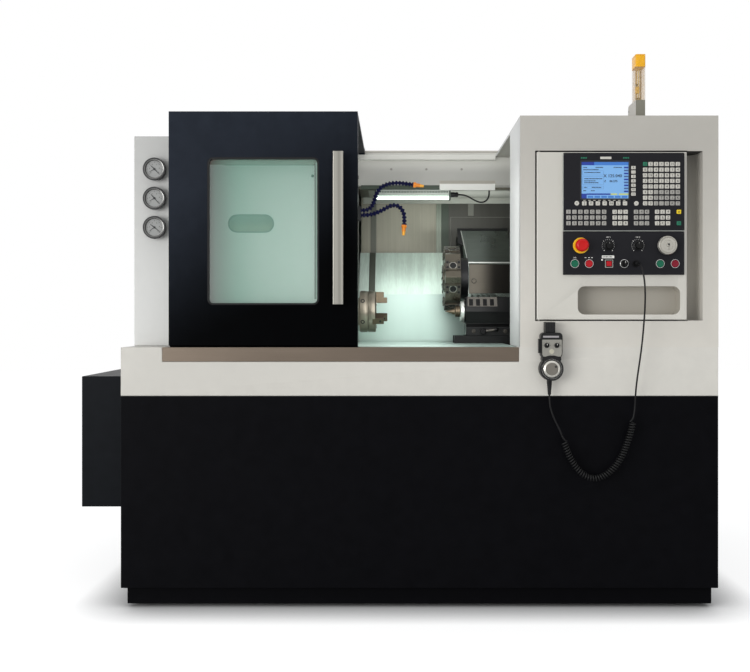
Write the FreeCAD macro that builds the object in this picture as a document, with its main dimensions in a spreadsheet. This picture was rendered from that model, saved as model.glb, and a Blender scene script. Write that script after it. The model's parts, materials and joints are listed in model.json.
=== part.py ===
import FreeCAD, Part
import math
import os
import re

import Sketcher
from FreeCAD import Placement, Rotation, Vector

# Slant-bed turning lathe with a sliding door, a swing-out control box and an eight-station turret.
# Millimetres. X runs to the right along the spindle, Y to the back and Z up. The origin is on the floor,
# at the centre of the four anchor holes of the base.

doc = FreeCAD.newDocument("turning_lathe")

sizes = {
    # base, feet and deck
    "base_width": 2050,
    "base_depth": 1500,
    "foot_length": 150,
    "foot_breadth": 110,
    "foot_thickness": 12,
    "foot_side_inset": 150,
    "foot_end_inset": 130,
    "foot_rim": 10,
    "foot_pocket_depth": 60,
    "anchor_radius": 9,
    "anchor_shift": 40,
    "stud_radius": 12,
    "plinth_height": 58,
    "plinth_inset": 18,
    "skirt_height": 659,
    "band_height": 167,
    "pan_front_wall": 100,
    "pan_side_wall": 60,
    "pan_depth": 96,
    # sill strip with the track of the door
    "sill_left": -882,
    "sill_end_gap": 4,
    "sill_height": 49,
    "sill_depth": 70,
    "track_width": 14,
    "track_setback": 20,
    "track_depth": 9,
    # sliding door
    "door_width": 649,
    "door_edge": -212,
    "door_height": 804,
    "door_lift": 6,
    "door_thickness": 45,
    "door_setback": 2,
    "window_margin": 133,
    "window_level": 140,
    "window_height": 506,
    "window_corner": 20,
    "glass_rebate": 10,
    "glass_thickness": 6,
    "seal_depth": 12,
    "seat_gap": 0.3,
    "roof_gauge": 12,
    "roof_end_gap": 8,
    "block_width": 26,
    "block_height": 26,
    "block_depth": 22,
    "block_play": 4,
    "handle_inset": 48,
    "handle_width": 35,
    "handle_level": 141,
    "handle_height": 520,
    "handle_gap": 22,
    "handle_thickness": 20,
    "handle_post_radius": 9,
    "handle_post_low": 78,
    "handle_post_high": 28,
    # fixed left cover and pressure gauges
    "sheet_gauge": 10,
    "cover_edge": -240,
    "cover_setback": 175,
    "cover_height": 756,
    "slot_left": -682,
    "slot_width": 158,
    "slot_level": 412,
    "slot_height": 58,
    "nose_hole_radius": 62,
    "gauge_side_inset": 79,
    "gauge_low_level": 425,
    "gauge_pitch": 104.5,
    "gauge_radius": 41,
    "gauge_depth": 30,
    "gauge_rim": 8,
    "gauge_recess": 5,
    "needle_length": 26,
    "needle_width": 3,
    "needle_thickness": 1.5,
    # rear housing, beam and rail
    "rear_setback": 830,
    "rear_over_door": 4,
    "beam_depth": 70,
    "beam_height": 140,
    "rail_depth": 20,
    "rail_height": 22,
    "rail_drop": 20,
    "louvre_length": 300,
    "louvre_height": 12,
    "louvre_pitch": 34,
    "louvre_depth": 4,
    "louvre_level": 130,
    # control cabinet and pocket
    "cabinet_edge": 345,
    "cabinet_height": 795,
    "cabinet_depth": 300,
    "pocket_left": 398,
    "pocket_width": 573,
    "pocket_level": 92,
    "pocket_height": 581,
    "pocket_depth": 100,
    "pocket_bend": 40,
    "pocket_overrun": 60,
    # side box at the left
    "side_box_width": 212,
    "side_box_setback": 250,
    "side_box_depth": 650,
    "side_box_level": 302,
    "side_box_height": 480,
    # spindle line and slanted bed, in a frame that is turned about the spindle axis
    "spindle_setback": 562,
    "spindle_height": 1022,
    "bed_slope": 45,
    "turret_reach": 195,
    "cover_drop": 150,
    "cover_start": 257,
    "cover_length": 269,
    "liner_gauge": 8,
    "liner_back_setback": 1180,
    "liner_seat": 10,
    "bed_drop": 260,
    "bed_start": 277,
    "bed_length": 330,
    "bed_thickness": 110,
    "bed_left": -225,
    "bed_right": 1000,
    "bed_rail_height": 35,
    "bed_rail_width": 35,
    "bed_rail_inset": 40,
    "bed_rail_pitch": 190,
    # saddle, cross slide and turret
    "saddle_left": 190,
    "saddle_width": 230,
    "saddle_cover_gap": 6,
    "saddle_arm": 42,
    "saddle_web_gap": 8,
    "saddle_web": 44,
    "slide_left": 214,
    "slide_width": 180,
    "slide_plate": 30,
    "slide_plate_back": 577,
    "slide_plate_front": 237,
    "housing_front": 221,
    "housing_back": 433,
    "housing_top": 68,
    "housing_chin": 97,
    "housing_chin_drop": 56,
    "fin_gap_width": 9,
    "fin_pitch": 24,
    "fin_inset": 14,
    "fin_overrun": 12,
    "fin_low": 2,
    "fin_high": 38,
    "plug_inset": 26,
    "plug_depth": 6,
    "plug_drop": 12,
    "plug_radius": 8,
    "plug_length": 12,
    "fin_depth": 26,
    "neck_radius": 84,
    "disc_left": 118,
    "disc_width": 63,
    "disc_radius": 133,
    "disc_gap": 0.3,
    "station_count": 8,
    "socket_radius": 15,
    "socket_depth": 42,
    "station_bolt_radius": 6,
    "station_bolt_head": 4,
    "hub_radius": 52,
    "hub_height": 6,
    # headstock, spindle, chuck and jaws
    "headstock_left": -800,
    "headstock_right": -262,
    "headstock_half": 150,
    "headstock_top": 150,
    "headstock_chamfer": 60,
    "bearing_radius": 55,
    "running_gap": 0.05,
    "spindle_left": -960,
    "bore_radius": 26,
    "pulley_radius": 95,
    "pulley_width": 70,
    "pulley_groove": 8,
    "pulley_rim": 12,
    "chuck_left": -225,
    "chuck_length": 66,
    "chuck_radius": 82,
    "chuck_chamfer": 4,
    "slot_margin": 2,
    "slot_overrun": 4,
    "jaw_slot_width": 26,
    "jaw_slot_depth": 14,
    "jaw_inner": 34,
    "jaw_outer": 78,
    "jaw_step": 56,
    "jaw_height": 30,
    "jaw_step_height": 43,
    # tailstock
    "way_left": 150,
    "way_right": 900,
    "way_rail_height": 30,
    "way_rail_width": 24,
    "tail_left": 196,
    "tail_length": 184,
    "tail_half": 58,
    "tail_foot_height": 34,
    "quill_radius": 41,
    "quill_nose": 20,
    "quill_length": 150,
    "centre_shank": 14,
    "centre_radius": 22,
    "centre_body": 22,
    "centre_length": 38,
    "centre_chamfer": 4,
    "centre_seat": 24,
    # work lamp, coolant manifold and hoses
    "lamp_left": -171,
    "lamp_length": 325,
    "lamp_depth": 42,
    "lamp_height": 45,
    "lamp_drop": 60,
    "lamp_tube_radius": 9,
    "lamp_tube_inset": 6,
    "lamp_hanger_gauge": 8,
    "lamp_hanger_inset": 20,
    "lamp_plug_radius": 11,
    "lamp_plug_length": 34,
    "lamp_plug_lift": 26,
    "cable_radius": 3.5,
    "cable_reach": 133,
    "manifold_height": 60,
    "manifold_depth": 30,
    "manifold_reach": 14,
    "manifold_level": 1400,
    "hose_setback": 730,
    "hose_radius": 10,
    "hose_waist": 7.5,
    "hose_bore": 4,
    "hose_rib_pitch": 13,
    "hose_sides": 8,
    "hose_low_level": 1424,
    "hose_high_level": 1444,
    "nozzle_radius": 11,
    "nozzle_tip_radius": 5,
    "nozzle_length": 44,
    # control box and what is on it
    "box_gap": 3.5,
    "box_width": 516,
    "box_depth": 88,
    "box_corner": 5,
    "pin_inset": 9,
    "pin_radius": 4,
    "pin_length": 12,
    "unit_left": 90,
    "unit_level": 304,
    "unit_width": 414,
    "unit_height": 266,
    "unit_thickness": 10,
    "panel_level": 153,
    "panel_height": 148,
    "panel_thickness": 8,
    "tray_left": 141,
    "tray_level": 17,
    "tray_width": 351,
    "tray_height": 97,
    "tray_depth": 55,
    "tray_corner": 24,
    "screen_left": 62,
    "screen_level": 110,
    "screen_width": 161,
    "screen_height": 125,
    "screen_recess": 4,
    "screen_frame": 12,
    "key_lift": 1.6,
    "key_width": 15,
    "key_height": 14,
    "key_pitch_across": 18.6,
    "key_pitch_up": 19.2,
    "pad_left": 272,
    "pad_level": 86,
    "row_left": 10,
    "row_level": 18,
    "row_pitch_up": 19.6,
    # controls, measured from the lower left corner of the operator panel
    "upper_row": 100,
    "lower_row": 38,
    "stop_across": 60,
    "stop_head_radius": 22,
    "stop_neck_radius": 14,
    "stop_plate_radius": 27,
    "stop_plate_height": 3,
    "stop_travel": 5,
    "stop_height": 40,
    "first_knob_across": 154,
    "second_knob_across": 255,
    "cap_round": 2,
    "knob_skirt": 5,
    "knob_shoulder": 7,
    "mark_width": 3,
    "mark_gauge": 1,
    "mark_length": 9,
    "barrel_lip": 3,
    "barrel_flange": 4,
    "barrel_shoulder": 6,
    "barrel_height": 12,
    "bow_gauge": 4,
    "bow_height": 24,
    "bow_width": 20,
    "stop_neck_rise": 4,
    "stop_rim_rise": 6,
    "stop_dome": 8,
    "stop_crown": 1,
    "wheel_neck": 4,
    "wheel_shoulder": 6,
    "wheel_round": 3,
    "dimple_shift": 16,
    "dimple_depth": 4,
    "dimple_radius": 4,
    "dimple_length": 6,
    "gland_flange": 5,
    "gland_round": 1,
    "gland_taper": 3,
    "scale_margin": 8,
    "name_width": 42,
    "name_level": 18,
    "name_height": 10,
    "knob_radius": 17,
    "knob_height": 20,
    "wheel_across": 353,
    "wheel_radius": 32,
    "wheel_height": 22,
    "button_radius": 12.5,
    "button_bezel": 15,
    "button_travel": 3,
    "button_height": 6,
    "bezel_height": 3,
    "well_floor_gap": 1.5,
    "start_across": 39,
    "halt_across": 88,
    "reset_across": 156,
    "selector_across": 208,
    "gland_across": 249,
    "clamp_across": 331,
    "light_across": 382,
    "gland_radius": 9,
    "gland_height": 20,
    "plate_gauge": 1,
    # pendant
    "holder_left": 425,
    "holder_width": 34,
    "holder_level": 905,
    "holder_height": 78,
    "holder_reach": 42,
    "holder_gauge": 6,
    "pendant_centre": 446,
    "pendant_half": 36.5,
    "pendant_level": 864,
    "pendant_height": 83,
    "pendant_corner": 12,
    "pendant_depth": 42,
    "pendant_wheel_level": 824,
    "pendant_barrel": 40,
    "pendant_dial_radius": 29,
    "pendant_dial_height": 9,
    "pendant_knob_radius": 9,
    "pendant_knob_height": 10,
    "pendant_knob_level": 904,
    "pendant_knob_spread": 17,
    "enable_width": 8,
    "enable_depth": 22,
    "enable_height": 58,
    "enable_travel": 3,
    "relief_across": 441,
    "relief_level": 736,
    "relief_top_radius": 8.5,
    "relief_end_radius": 5,
    # curly cord
    "cord_radius": 3,
    "cord_sides": 6,
    "curl_radius": 9,
    "curl_count": 46,
    "curl_sides": 4,
    "curl_lead": 7,
    "curl_swing": 13,
    # tower light
    "tower_left": 756,
    "tower_width": 33,
    "tower_setback": 60,
    "tower_base_height": 67,
    "tower_base_depth": 115,
    "tower_lens_depth": 62,
    "tower_lens_height": 160,
    "tower_wall": 3,
    "tower_core_radius": 9,
}

sheet = doc.addObject("Spreadsheet::Sheet", "Sizes")
for row, (alias, value) in enumerate(sizes.items(), start=1):
    sheet.set(f"A{row}", alias)
    sheet.set(f"B{row}", str(value))
    sheet.setAlias(f"B{row}", alias)
doc.recompute()

# places that follow from the sizes, as expressions of them
places = {
    "base_left": "-base_width / 2",
    "base_right": "base_width / 2",
    "base_front": "-base_depth / 2",
    "base_back": "base_depth / 2",
    "skirt_level": "foot_thickness + plinth_height",
    "seam_level": "skirt_level + skirt_height",
    "deck_level": "seam_level + band_height",
    "door_left": "door_edge - door_width",
    "door_front": "base_front + door_setback",
    "door_back": "door_front + door_thickness",
    "door_bottom": "deck_level + door_lift",
    "door_top": "door_bottom + door_height",
    "window_left": "door_left + window_margin",
    "window_right": "door_edge - window_margin",
    "window_bottom": "door_bottom + window_level",
    "window_top": "window_bottom + window_height",
    "cover_front": "base_front + cover_setback",
    "cover_top": "deck_level + cover_height",
    "rear_front": "base_front + rear_setback",
    "rear_top": "door_top + rear_over_door",
    "beam_top": "rear_top - sheet_gauge",
    "beam_bottom": "beam_top - beam_height",
    "lamp_level": "beam_bottom - lamp_drop",
    "rail_top": "rear_top - rail_drop",
    "cabinet_top": "deck_level + cabinet_height",
    "cabinet_back": "base_front + cabinet_depth",
    "pocket_bottom": "deck_level + pocket_level",
    "pocket_top": "pocket_bottom + pocket_height",
    "pocket_right": "pocket_left + pocket_width",
    "spindle_y": "base_front + spindle_setback",
    "slope_cos": "cos(bed_slope * 1 deg)",
    "slope_sin": "sin(bed_slope * 1 deg)",
    "bend_y": "spindle_y + cover_start * slope_cos + cover_drop * slope_sin",
    "bend_z": "spindle_height + cover_start * slope_sin - cover_drop * slope_cos",
    "crest_y": "bend_y + cover_length * slope_cos",
    "crest_z": "bend_z + cover_length * slope_sin",
    "liner_back": "base_front + liner_back_setback",
    "bed_y": "spindle_y + bed_start * slope_cos + bed_drop * slope_sin",
    "bed_z": "spindle_height + bed_start * slope_sin - bed_drop * slope_cos",
    "bed_top_y": "bed_y + bed_length * slope_cos",
    "bed_top_z": "bed_z + bed_length * slope_sin",
    "rail_drop_top": "bed_drop - bed_rail_height",
    "turret_y": "spindle_y + turret_reach * slope_cos",
    "turret_z": "spindle_height + turret_reach * slope_sin",
    "disc_right": "disc_left + disc_width",
    "chuck_right": "chuck_left + chuck_length",
    "way_level": "deck_level - pan_depth",
    "way_top": "deck_level + way_rail_height",
    "tail_bottom": "way_top + seat_gap",
    "hose_y": "base_front + hose_setback",
    "box_left": "pocket_left + box_gap",
    "box_bottom": "pocket_bottom + box_gap",
    "box_top": "pocket_top - box_gap",
    "box_right": "box_left + box_width",
    "unit_x": "box_left + unit_left",
    "unit_z": "box_bottom + unit_level",
    "unit_front": "base_front - unit_thickness",
    "panel_z": "box_bottom + panel_level",
    "panel_front": "base_front - panel_thickness",
    "pin_x": "box_left + pin_inset",
    "pin_y": "base_front + pin_inset",
    "upper_z": "panel_z + upper_row",
    "lower_z": "panel_z + lower_row",
    "pendant_back": "base_front - holder_gauge - seat_gap",
    "pendant_front": "pendant_back - pendant_depth",
    "pendant_left": "pendant_centre - pendant_half",
    "pendant_right": "pendant_centre + pendant_half",
    "pendant_top": "pendant_level + pendant_height",
    "pendant_middle": "pendant_back - pendant_depth / 2",
    "tower_y": "base_front + tower_setback",
    "tower_lens_level": "cabinet_top + tower_base_height",
    "gland_tip": "panel_front - gland_height",
}

word = re.compile(r"[a-z][a-z0-9_]*")


def link(text):
    # the text with each place written out and each size as a cell of the sheet
    def swap(found):
        name = found.group(0)
        if name in places:
            return "(" + link(places[name]) + ")"
        if name in sizes:
            return "Sizes." + name
        return name

    return word.sub(swap, str(text))


def number(text):
    return float(sheet.evalExpression(link(text)))


def bind(thing, links):
    for prop, text in links.items():
        thing.setExpression(prop, link(text))
    return thing


def label(name, thing):
    thing.Label = name
    nodes[name] = thing
    return thing


nodes = {}
turns = {
    "x": Rotation(Vector(0, 1, 0), 90),
    "y": Rotation(Vector(1, 0, 0), -90),
    "-y": Rotation(Vector(1, 0, 0), 90),
    "-x": Rotation(Vector(0, 1, 0), -90),
    "z": Rotation(),
}


def place(thing, at, turn="z"):
    thing.Placement = Placement(Vector(), turns[turn])
    return bind(thing, {f"Placement.Base.{axis}": text for axis, text in zip("xyz", at)})


def box(name, x, y, z):
    # a block from its low and high place along each axis
    block = doc.addObject("Part::Box", name)
    spans = {"Length": x, "Width": y, "Height": z}
    bind(block, {prop: f"({high}) - ({low})" for prop, (low, high) in spans.items()})
    return place(block, (x[0], y[0], z[0]))


def cylinder(name, at, turn, radius, length):
    rod = doc.addObject("Part::Cylinder", name)
    bind(rod, {"Radius": radius, "Height": length})
    return place(rod, at, turn)


def prism(name, at, turn, sides, radius, length):
    bar = doc.addObject("Part::Prism", name)
    bar.Polygon = sides
    bind(bar, {"Circumradius": radius, "Height": length})
    return place(bar, at, turn)


def cone(name, at, turn, start_radius, end_radius, length):
    taper = doc.addObject("Part::Cone", name)
    bind(taper, {"Radius1": start_radius, "Radius2": end_radius, "Height": length})
    return place(taper, at, turn)


def fuse(name, parts):
    joined = doc.addObject("Part::MultiFuse", name)
    joined.Shapes = parts
    return joined


def cut(name, base, tools):
    trimmed = doc.addObject("Part::Cut", name)
    trimmed.Base = base
    trimmed.Tool = tools[0] if len(tools) == 1 else fuse(name + "_tools", tools)
    return trimmed


def group(name, parts):
    together = doc.addObject("Part::Compound", name)
    together.Links = parts
    return together


def rounded(name, base, radius, chosen):
    # the base with the edges that chosen picks rounded off
    doc.recompute()
    soft = doc.addObject("Part::Fillet", name)
    soft.Base = base
    width = number(radius)
    edges = base.Shape.Edges
    soft.Edges = [(i + 1, width, width) for i, edge in enumerate(edges) if chosen(edge)]
    return soft


def runs_along(axis):
    # picks the straight edges along one axis
    direction = {"x": Vector(1, 0, 0), "y": Vector(0, 1, 0), "z": Vector(0, 0, 1)}[axis]

    def test(edge):
        if edge.Curve.TypeId != "Part::GeomLine":
            return False
        return edge.Curve.Direction.cross(direction).Length < 1e-6

    return test


def sketch_on(body, plane, points):
    # a closed outline whose corners are bound to the sheet
    drawing = body.newObject("Sketcher::SketchObject", body.Name + "_outline")
    face = [item for item in body.Origin.OriginFeatures if item.Role == plane][0]
    drawing.AttachmentSupport = [(face, "")]
    drawing.MapMode = "FlatFace"
    corners = [Vector(number(across), number(up), 0) for across, up in points]
    count = len(points)
    for i in range(count):
        drawing.addGeometry(Part.LineSegment(corners[i], corners[(i + 1) % count]), False)
    for i in range(count):
        drawing.addConstraint(Sketcher.Constraint("Coincident", i, 2, (i + 1) % count, 1))
    for i, point in enumerate(points):
        for kind, text, value in zip(("DistanceX", "DistanceY"), point, corners[i][:2]):
            held = drawing.addConstraint(Sketcher.Constraint(kind, -1, 1, i, 1, value))
            drawing.setExpression(f"Constraints[{held}]", link(text))
    return drawing


def turned(name, at, turn, points):
    # a body of revolution: radius and height of each corner, along the turned Z axis
    body = doc.addObject("PartDesign::Body", name)
    outline = sketch_on(body, "XZ_Plane", points)
    spin = body.newObject("PartDesign::Revolution", name + "_spin")
    spin.Profile = outline
    spin.ReferenceAxis = (outline, ["V_Axis"])
    spin.Angle = 360
    return place(body, at, turn)


def profiled(name, points, start, end, at=("0", "0"), slope=None):
    # an outline in Y and Z, padded along X from start to end
    body = doc.addObject("PartDesign::Body", name)
    outline = sketch_on(body, "YZ_Plane", points)
    pad = body.newObject("PartDesign::Pad", name + "_pad")
    pad.Profile = outline
    bind(pad, {"Length": f"({end}) - ({start})"})
    place(body, (start, at[0], at[1]))
    if slope:
        body.Placement.Rotation = Rotation(Vector(1, 0, 0), number(slope))
        bind(body, {"Placement.Rotation.Angle": slope})
    return body


def sloped(name, points, start, end):
    # an outline in the frame of the slanted bed: distance up the slope, height above the spindle line
    return profiled(name, points, start, end, ("spindle_y", "spindle_height"), "bed_slope")


def make_feet():
    pads = []
    pockets = []
    for side in (-1, 1):
        for end in (-1, 1):
            tag = f"{'left' if side < 0 else 'right'}_{'front' if end < 0 else 'back'}"
            x = f"{side} * (base_width / 2 - foot_side_inset)"
            y = f"{end} * (base_depth / 2 - foot_end_inset)"
            hole_x = f"{x} + {side} * anchor_shift"
            stud_x = f"{x} - {side} * anchor_shift"
            spans = [(f"{x} - foot_length / 2", f"{x} + foot_length / 2"),
                     (f"{y} - foot_breadth / 2", f"{y} + foot_breadth / 2")]
            pad = box(f"pad_{tag}", *spans, ("0", "foot_thickness"))
            stud = prism(f"stud_{tag}", (stud_x, y, "foot_thickness / 2"), "z", 6, "stud_radius",
                         "foot_thickness / 2 + foot_pocket_depth")
            hole = cylinder(f"anchor_{tag}", (hole_x, y, "0"), "z", "anchor_radius", "foot_thickness")
            pads.append(cut(f"foot_{tag}", fuse(f"blank_{tag}", [pad, stud]), [hole]))
            inner = [(f"{low} + foot_rim", f"{high} - foot_rim") for low, high in spans]
            level = ("foot_thickness", "foot_thickness + foot_pocket_depth")
            pockets.append(box(f"room_{tag}", *inner, level))
    label("floor_feet", group("floor_feet", pads))
    return pockets


def make_base(pockets):
    plinth = box("plinth", ("base_left + plinth_inset", "base_right - plinth_inset"),
                 ("base_front + plinth_inset", "base_back - plinth_inset"),
                 ("foot_thickness", "skirt_level"))
    skirt = box("skirt", ("base_left", "base_right"), ("base_front", "base_back"),
                ("skirt_level", "seam_level"))
    label("base_skirt", cut("base_skirt", fuse("base_block", [plinth, skirt]), pockets))


def make_deck():
    tray = box("tray", ("base_left", "base_right"), ("base_front", "base_back"),
               ("seam_level", "deck_level"))
    pan = box("pan", ("cover_edge + sheet_gauge", "base_right - pan_side_wall"),
              ("base_front + pan_front_wall", "bend_y"), ("deck_level - pan_depth", "deck_level + 1"))
    notch = box("notch", ("sill_left", "cabinet_edge - sill_end_gap"),
                ("base_front - 1", "base_front + sill_depth"),
                ("deck_level - sill_height", "deck_level + 1"))
    label("deck_tray", cut("deck_tray", tray, [pan, notch]))

    strip = box("strip", ("sill_left", "cabinet_edge - sill_end_gap"),
                ("base_front", "base_front + sill_depth"),
                ("deck_level - sill_height", "deck_level"))
    track = box("track", ("door_left - 6", "cabinet_edge"),
                ("base_front + track_setback", "base_front + track_setback + track_width"),
                ("deck_level - track_depth", "deck_level + 1"))
    label("sill_strip", cut("sill_strip", strip, [track]))


def make_door():
    slab = box("slab", ("door_left", "door_edge"), ("door_front", "door_back"), ("door_bottom", "door_top"))
    opening = rounded("opening", box("opening_block", ("window_left", "window_right"),
                      ("door_front - 1", "door_back + 1"), ("window_bottom", "window_top")),
                      "window_corner", runs_along("y"))
    rebate = box("rebate", ("window_left - glass_rebate", "window_right + glass_rebate"),
                 ("door_front + seal_depth", "door_back + 1"),
                 ("window_bottom - glass_rebate", "window_top + glass_rebate"))
    roof = box("roof", ("door_left", "door_edge"), ("door_back", "rear_front - roof_end_gap"),
               ("door_top - roof_gauge", "door_top"))
    fin = box("guide_fin", ("door_left", "door_edge"),
              ("base_front + track_setback + seat_gap",
               "base_front + track_setback + track_width - seat_gap"),
              ("deck_level - track_depth + seat_gap", "door_bottom"))
    blocks = []
    for tag, x in (("left", ("door_left", "door_left + block_width")),
                   ("right", ("door_edge - block_width", "door_edge"))):
        blocks.append(box(f"block_{tag}", x,
                          ("rear_front - rail_depth", "rear_front - rail_depth + block_depth - block_play"),
                          ("rail_top + seat_gap", "rail_top + block_height")))
    frame = cut("door_slab", slab, [opening, rebate])
    label("door_frame", fuse("door_frame", [frame, roof, fin] + blocks))

    pane = box("pane", ("window_left - glass_rebate + seat_gap", "window_right + glass_rebate - seat_gap"),
               ("door_front + seal_depth", "door_front + seal_depth + glass_thickness"),
               ("window_bottom - glass_rebate", "window_top + glass_rebate - seat_gap"))
    label("door_glass", pane)

    right = "door_edge - handle_inset"
    left = f"{right} - handle_width"
    bottom = "door_bottom + handle_level"
    bar = rounded("bar", box("bar_block", (left, right),
                  ("door_front - handle_gap - handle_thickness", "door_front - handle_gap"),
                  (bottom, f"{bottom} + handle_height")), "handle_thickness / 8", runs_along("z"))
    posts = []
    for tag, z in (("low", f"{bottom} + handle_post_low"),
                   ("high", f"{bottom} + handle_height - handle_post_high")):
        posts.append(cylinder(f"post_{tag}", (f"{right} - handle_width / 2", "door_front", z), "-y",
                              "handle_post_radius", "handle_gap + handle_thickness / 2"))
    label("door_handle", fuse("door_handle", [bar] + posts))


def make_left_cover():
    shell = box("cover_shell", ("base_left", "cover_edge"), ("cover_front", "rear_front"),
                ("deck_level", "cover_top"))
    inside = box("cover_room", ("base_left + sheet_gauge", "cover_edge - sheet_gauge"),
                 ("cover_front + sheet_gauge", "rear_front + 1"),
                 ("deck_level - 1", "cover_top - sheet_gauge"))
    slot = rounded("slot", box("slot_block", ("slot_left", "slot_left + slot_width"),
                   ("cover_front - 1", "cover_front + sheet_gauge + 1"),
                   ("deck_level + slot_level", "deck_level + slot_level + slot_height")),
                   "slot_height * 0.49", runs_along("y"))
    hole = cylinder("nose_hole", ("cover_edge - sheet_gauge - 1", "spindle_y", "spindle_height"), "x",
                    "nose_hole_radius", "sheet_gauge + 2")
    label("left_cover", cut("left_cover", shell, [inside, slot, hole]))

    cases = []
    for i, tag in enumerate(("low", "middle", "high")):
        at = ("base_left + gauge_side_inset", "cover_front",
              f"deck_level + gauge_low_level + {i} * gauge_pitch")
        case = turned(f"case_{tag}", at, "-y", [
            ("0", "0"), ("gauge_radius", "0"), ("gauge_radius", "gauge_depth"),
            ("gauge_radius - gauge_rim", "gauge_depth"),
            ("gauge_radius - gauge_rim", "gauge_depth - gauge_recess"),
            ("0", "gauge_depth - gauge_recess")])
        face = "cover_front - gauge_depth + gauge_recess"
        needle = box(f"needle_{tag}", (f"{at[0]} - needle_width / 2", f"{at[0]} + needle_width / 2"),
                     (f"{face} - needle_thickness", face),
                     (f"{at[2]} - needle_width", f"{at[2]} + needle_length"))
        cases.append(fuse(f"gauge_{tag}", [case, needle]))
    label("gauge_cases", group("gauge_cases", cases))


def make_rear():
    shell = box("rear_shell", ("base_left", "base_right"), ("rear_front", "base_back"),
                ("deck_level", "rear_top"))
    inside = box("rear_room", ("base_left + sheet_gauge", "base_right - sheet_gauge"),
                 ("rear_front - 1", "base_back - sheet_gauge"),
                 ("deck_level - 1", "rear_top - sheet_gauge"))
    louvres = []
    for tag, middle in (("left", "base_left / 2"), ("right", "base_right / 2")):
        for i in range(8):
            z = f"deck_level + louvre_level + {i} * louvre_pitch"
            louvres.append(box(f"louvre_{tag}_{i}", (f"{middle} - louvre_length / 2",
                                                     f"{middle} + louvre_length / 2"),
                               ("base_back - louvre_depth", "base_back + 1"), (z, f"{z} + louvre_height")))
    label("rear_housing", cut("rear_housing", shell, [inside] + louvres))

    beam = box("beam", ("base_left + sheet_gauge", "base_right - sheet_gauge"),
               ("rear_front", "rear_front + beam_depth"), ("beam_bottom", "beam_top"))
    rail = box("door_rail", ("base_left + sheet_gauge", "cabinet_edge - 1"),
               ("rear_front - rail_depth", "rear_front"),
               ("rail_top - rail_height", "rail_top"))
    label("rear_beam", fuse("rear_beam", [beam, rail]))


def make_cabinet():
    block = box("cabinet_block", ("cabinet_edge", "base_right"), ("base_front", "rear_front"),
                ("deck_level", "cabinet_top"))
    room = box("cabinet_room", ("cabinet_edge - 1", "base_right - sheet_gauge"),
               ("cabinet_back", "rear_front + 1"),
               ("deck_level - 1", "cabinet_top - sheet_gauge"))
    pocket_block = box("pocket_block", ("pocket_left", "pocket_right"),
                       ("base_front - pocket_overrun", "base_front + pocket_depth"),
                       ("pocket_bottom", "pocket_top"))
    right = number("pocket_right")
    back = number("base_front + pocket_depth")

    def deep_right(edge):
        middle = edge.BoundBox.Center
        return runs_along("z")(edge) and abs(middle.x - right) < 1 and abs(middle.y - back) < 1

    pocket = rounded("pocket", pocket_block, "pocket_bend", deep_right)
    pins = [cylinder("pin_low", ("pin_x", "pin_y", "pocket_bottom - 1"), "z", "pin_radius",
                     "pin_length + 1"),
            cylinder("pin_high", ("pin_x", "pin_y", "pocket_top - pin_length"), "z", "pin_radius",
                     "pin_length + 1")]
    hollow = cut("cabinet_hollow", block, [room, pocket])
    label("control_cabinet", fuse("control_cabinet", [hollow] + pins))

    body = box("side_body", ("base_left - side_box_width", "base_left"),
               ("base_front + side_box_setback", "base_front + side_box_setback + side_box_depth"),
               ("side_box_level", "side_box_level + side_box_height"))
    vents = []
    for i in range(6):
        z = f"side_box_level + louvre_level + {i} * louvre_pitch"
        y = "base_front + side_box_setback + side_box_depth / 2"
        vents.append(box(f"vent_{i}", ("base_left - side_box_width - 1",
                                       "base_left - side_box_width + louvre_depth"),
                         (f"{y} - louvre_length / 2", f"{y} + louvre_length / 2"),
                         (z, f"{z} + louvre_height")))
    label("motor_cover", cut("motor_cover", body, vents))


def make_bed():
    front = profiled("liner_front", [
        ("bend_y", "deck_level"), ("bend_y + liner_gauge", "deck_level"),
        ("bend_y + liner_gauge", "bend_z - liner_gauge * 0.4"),
        ("crest_y + liner_gauge * 0.7", "crest_z - liner_gauge * 0.7"), ("crest_y", "crest_z"),
        ("bend_y", "bend_z")],
        "cover_edge", "base_right - sheet_gauge")
    back = box("liner_rear", ("cover_edge", "base_right - sheet_gauge"),
               ("liner_back", "liner_back + liner_gauge"),
               ("bed_top_z", "beam_bottom"))
    roof = box("liner_roof", ("cover_edge", "base_right - sheet_gauge"),
               ("rear_front + beam_depth - liner_seat", "liner_back"),
               ("beam_bottom - liner_gauge", "beam_bottom"))
    label("wall_liner", group("wall_liner", [front, fuse("liner_upper", [back, roof])]))

    bed = profiled("bed_block", [
        ("bed_y", "deck_level"), ("bed_top_y + bed_thickness", "deck_level"),
        ("bed_top_y + bed_thickness", "bed_top_z"),
        ("bed_top_y", "bed_top_z"), ("bed_y", "bed_z")], "bed_left", "bed_right")
    rails = []
    for i in range(2):
        low = f"bed_start + bed_rail_inset + {i} * bed_rail_pitch"
        rails.append(sloped(f"bed_rail_{i + 1}", [
            (low, "-bed_drop"), (f"{low} + bed_rail_width", "-bed_drop"),
            (f"{low} + bed_rail_width", "-rail_drop_top"), (low, "-rail_drop_top")], "bed_left",
            "bed_right"))
    label("slant_bed", fuse("slant_bed", [bed] + rails))

    way = box("way_block", ("way_left", "way_right"), ("spindle_y - tail_half", "spindle_y + tail_half"),
              ("way_level", "deck_level"))
    strips = []
    for side in (-1, 1):
        y = f"spindle_y + {side} * (tail_half - way_rail_width / 2)"
        strips.append(box(f"way_strip_{'front' if side < 0 else 'back'}", ("way_left", "way_right"),
                          (f"{y} - way_rail_width / 2", f"{y} + way_rail_width / 2"),
                          ("deck_level", "way_top")))
    label("tailstock_way", fuse("tailstock_way", [way] + strips))


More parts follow.
